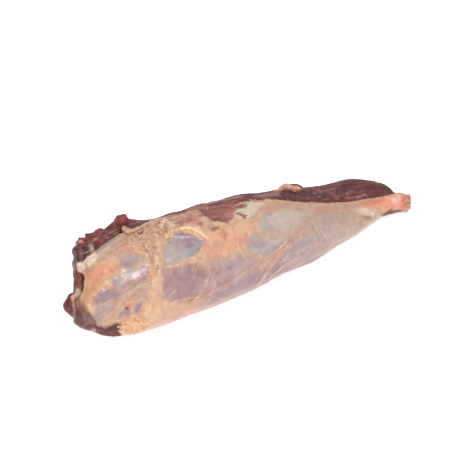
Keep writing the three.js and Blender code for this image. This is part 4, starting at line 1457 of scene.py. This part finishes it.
# %% Curl, flap and lobes of fat
curl_path = [(123.6, 222.5), (123.2, 226), (124, 230), (127, 232.6), (131, 231.6), (136, 229.6), (141, 227.2),
    (147, 224.6), (153, 221.8), (158, 219.6)]
curl_spots = along(curl_path, [0.8, 1.5, 2.0, 2.1, 1.8, 1.5, 1.7, 1.9, 1.5, 0.9])
curl_spots += along([(129, 234), (134, 233), (139, 230.6)], [0.9, 1.5, 0.9])
clump("curl_of_fat", heap_on(curl_spots, 0.3, 0.12), ["peach", ("tan", 0.5, 7), ("butter", 0.5, 5)],
    rough=0.25, grain=3)
flap_path = [(173.5, 231.5), (179, 229), (185, 228), (191, 228.6), (197, 230.8), (202, 234.6), (205, 239)]
flap_spots = along(flap_path, [1.0, 2.2, 3.0, 3.3, 3.0, 2.0, 0.8], 0.5, 0.05, 0.03)
clump("yellow_flap", heap_on(flap_spots, -0.3, stretched=0.05),
    ["butter", ("sinew", 0.5, 16), ("peach", 0.3, 12)], rough=0.05, melt=9)
CURLS = [
    [(126, 240), (130, 238), (134, 239), (135, 242), (132, 244)],
    [(137, 244), (141, 242), (145, 244), (146, 248)], [(126, 248), (130, 246), (134, 247), (138, 250)],
    [(141, 236), (145, 238), (149, 242), (150, 247)], [(118, 246), (122, 243), (126, 243)],
    [(130, 252), (136, 253), (143, 252)], [(146, 250), (150, 252), (151, 258)],
    [(131, 234), (137, 235), (141, 239)], [(155, 246), (158, 250), (157, 256)],
    [(158, 264), (160, 270), (158, 276)],
]
curl_lobes = [spot for path in CURLS for spot in along(path, [1.2, 2.1, 2.4, 2.0, 1.2], 1.0, 0.35)]
clump("strings_of_fat", heap_on(curl_lobes, -0.35),
    ["peach", ("orange", 0.5, 6), ("butter", 0.5, 4), ("pink", 0.3, 5)], rough=0.25)
LOBES = [(151, 224.5, 5.2), (157, 222, 6.0), (163, 222, 6.0), (169, 225, 6.2), (170, 231, 5.6),
    (167, 236.5, 4.6), (160, 232, 5.0), (153, 229.5, 4.8), (161, 227, 5.4), (174, 226, 3.4), (172, 237, 2.8),
    (148, 233, 3.6), (156, 236, 3.8), (152, 240, 3.0)]
clump(
    "pink_lobes",
    heap_on(LOBES, -0.25, 0.1),
    ["peach", ("pink", 0.6, 9), ("butter", 0.3, 5), ("tallow", 0.25, 6)],
    voxel=0.0008, rough=0.25, grain=6, melt=12,
)

# %% [markdown]
# The tendon was cut through at the thick end, so it ends in a pale knob with a swollen rim. Cream bits of fat
# hang in the cut beside it, and small beads of fat stand along the edge of the covering.

# %% Rim of the tendon, cream lobes of the cut end, beads at the edge
knob_spots = along([(84, 261.5), (79.5, 263), (77, 266.5), (78.5, 270.5), (83, 272)], [0.8, 1.4, 1.7, 1.6, 0.8])
knob_spots += along([(87, 265), (91, 261.5), (96, 257)], [3.8, 4.2, 2.6], 1.0, 0.05)
clump("rim_of_the_tendon", heap_on(knob_spots, -0.4), ["sinew", ("pink", 0.6, 6), ("tallow", 0.5, 6)],
    rough=0.1, melt=7)
cream_spots = [(77, 292, 2.4), (75.8, 295.5, 2.2), (77.5, 289.8, 1.7), (72, 322, 1.2)]
clump("cream_lobes", heap_on(cream_spots, -0.4),
    ["tan", ("tallow", 0.5, 5), ("pink", 0.5, 4), ("butter", 0.5, 5)], rough=0.2)
bead_spots = [(251, 200.4, 1.8), (254, 202, 1.5)]
bead_spots += [(261, 202, 1.6), (279, 203.4, 1.9), (281, 205, 1.4), (311, 207.5, 1.0), (314, 208.6, 1.1),
    (255, 199.6, 1.2)]
clump("beads_of_fat", heap_on(bead_spots, -0.1), ["peach", ("tallow", 0.6, 4), ("coral", 0.5, 4)], rough=0.25)

# %% [markdown]
# ## The end

# %% The end
print("scene built")
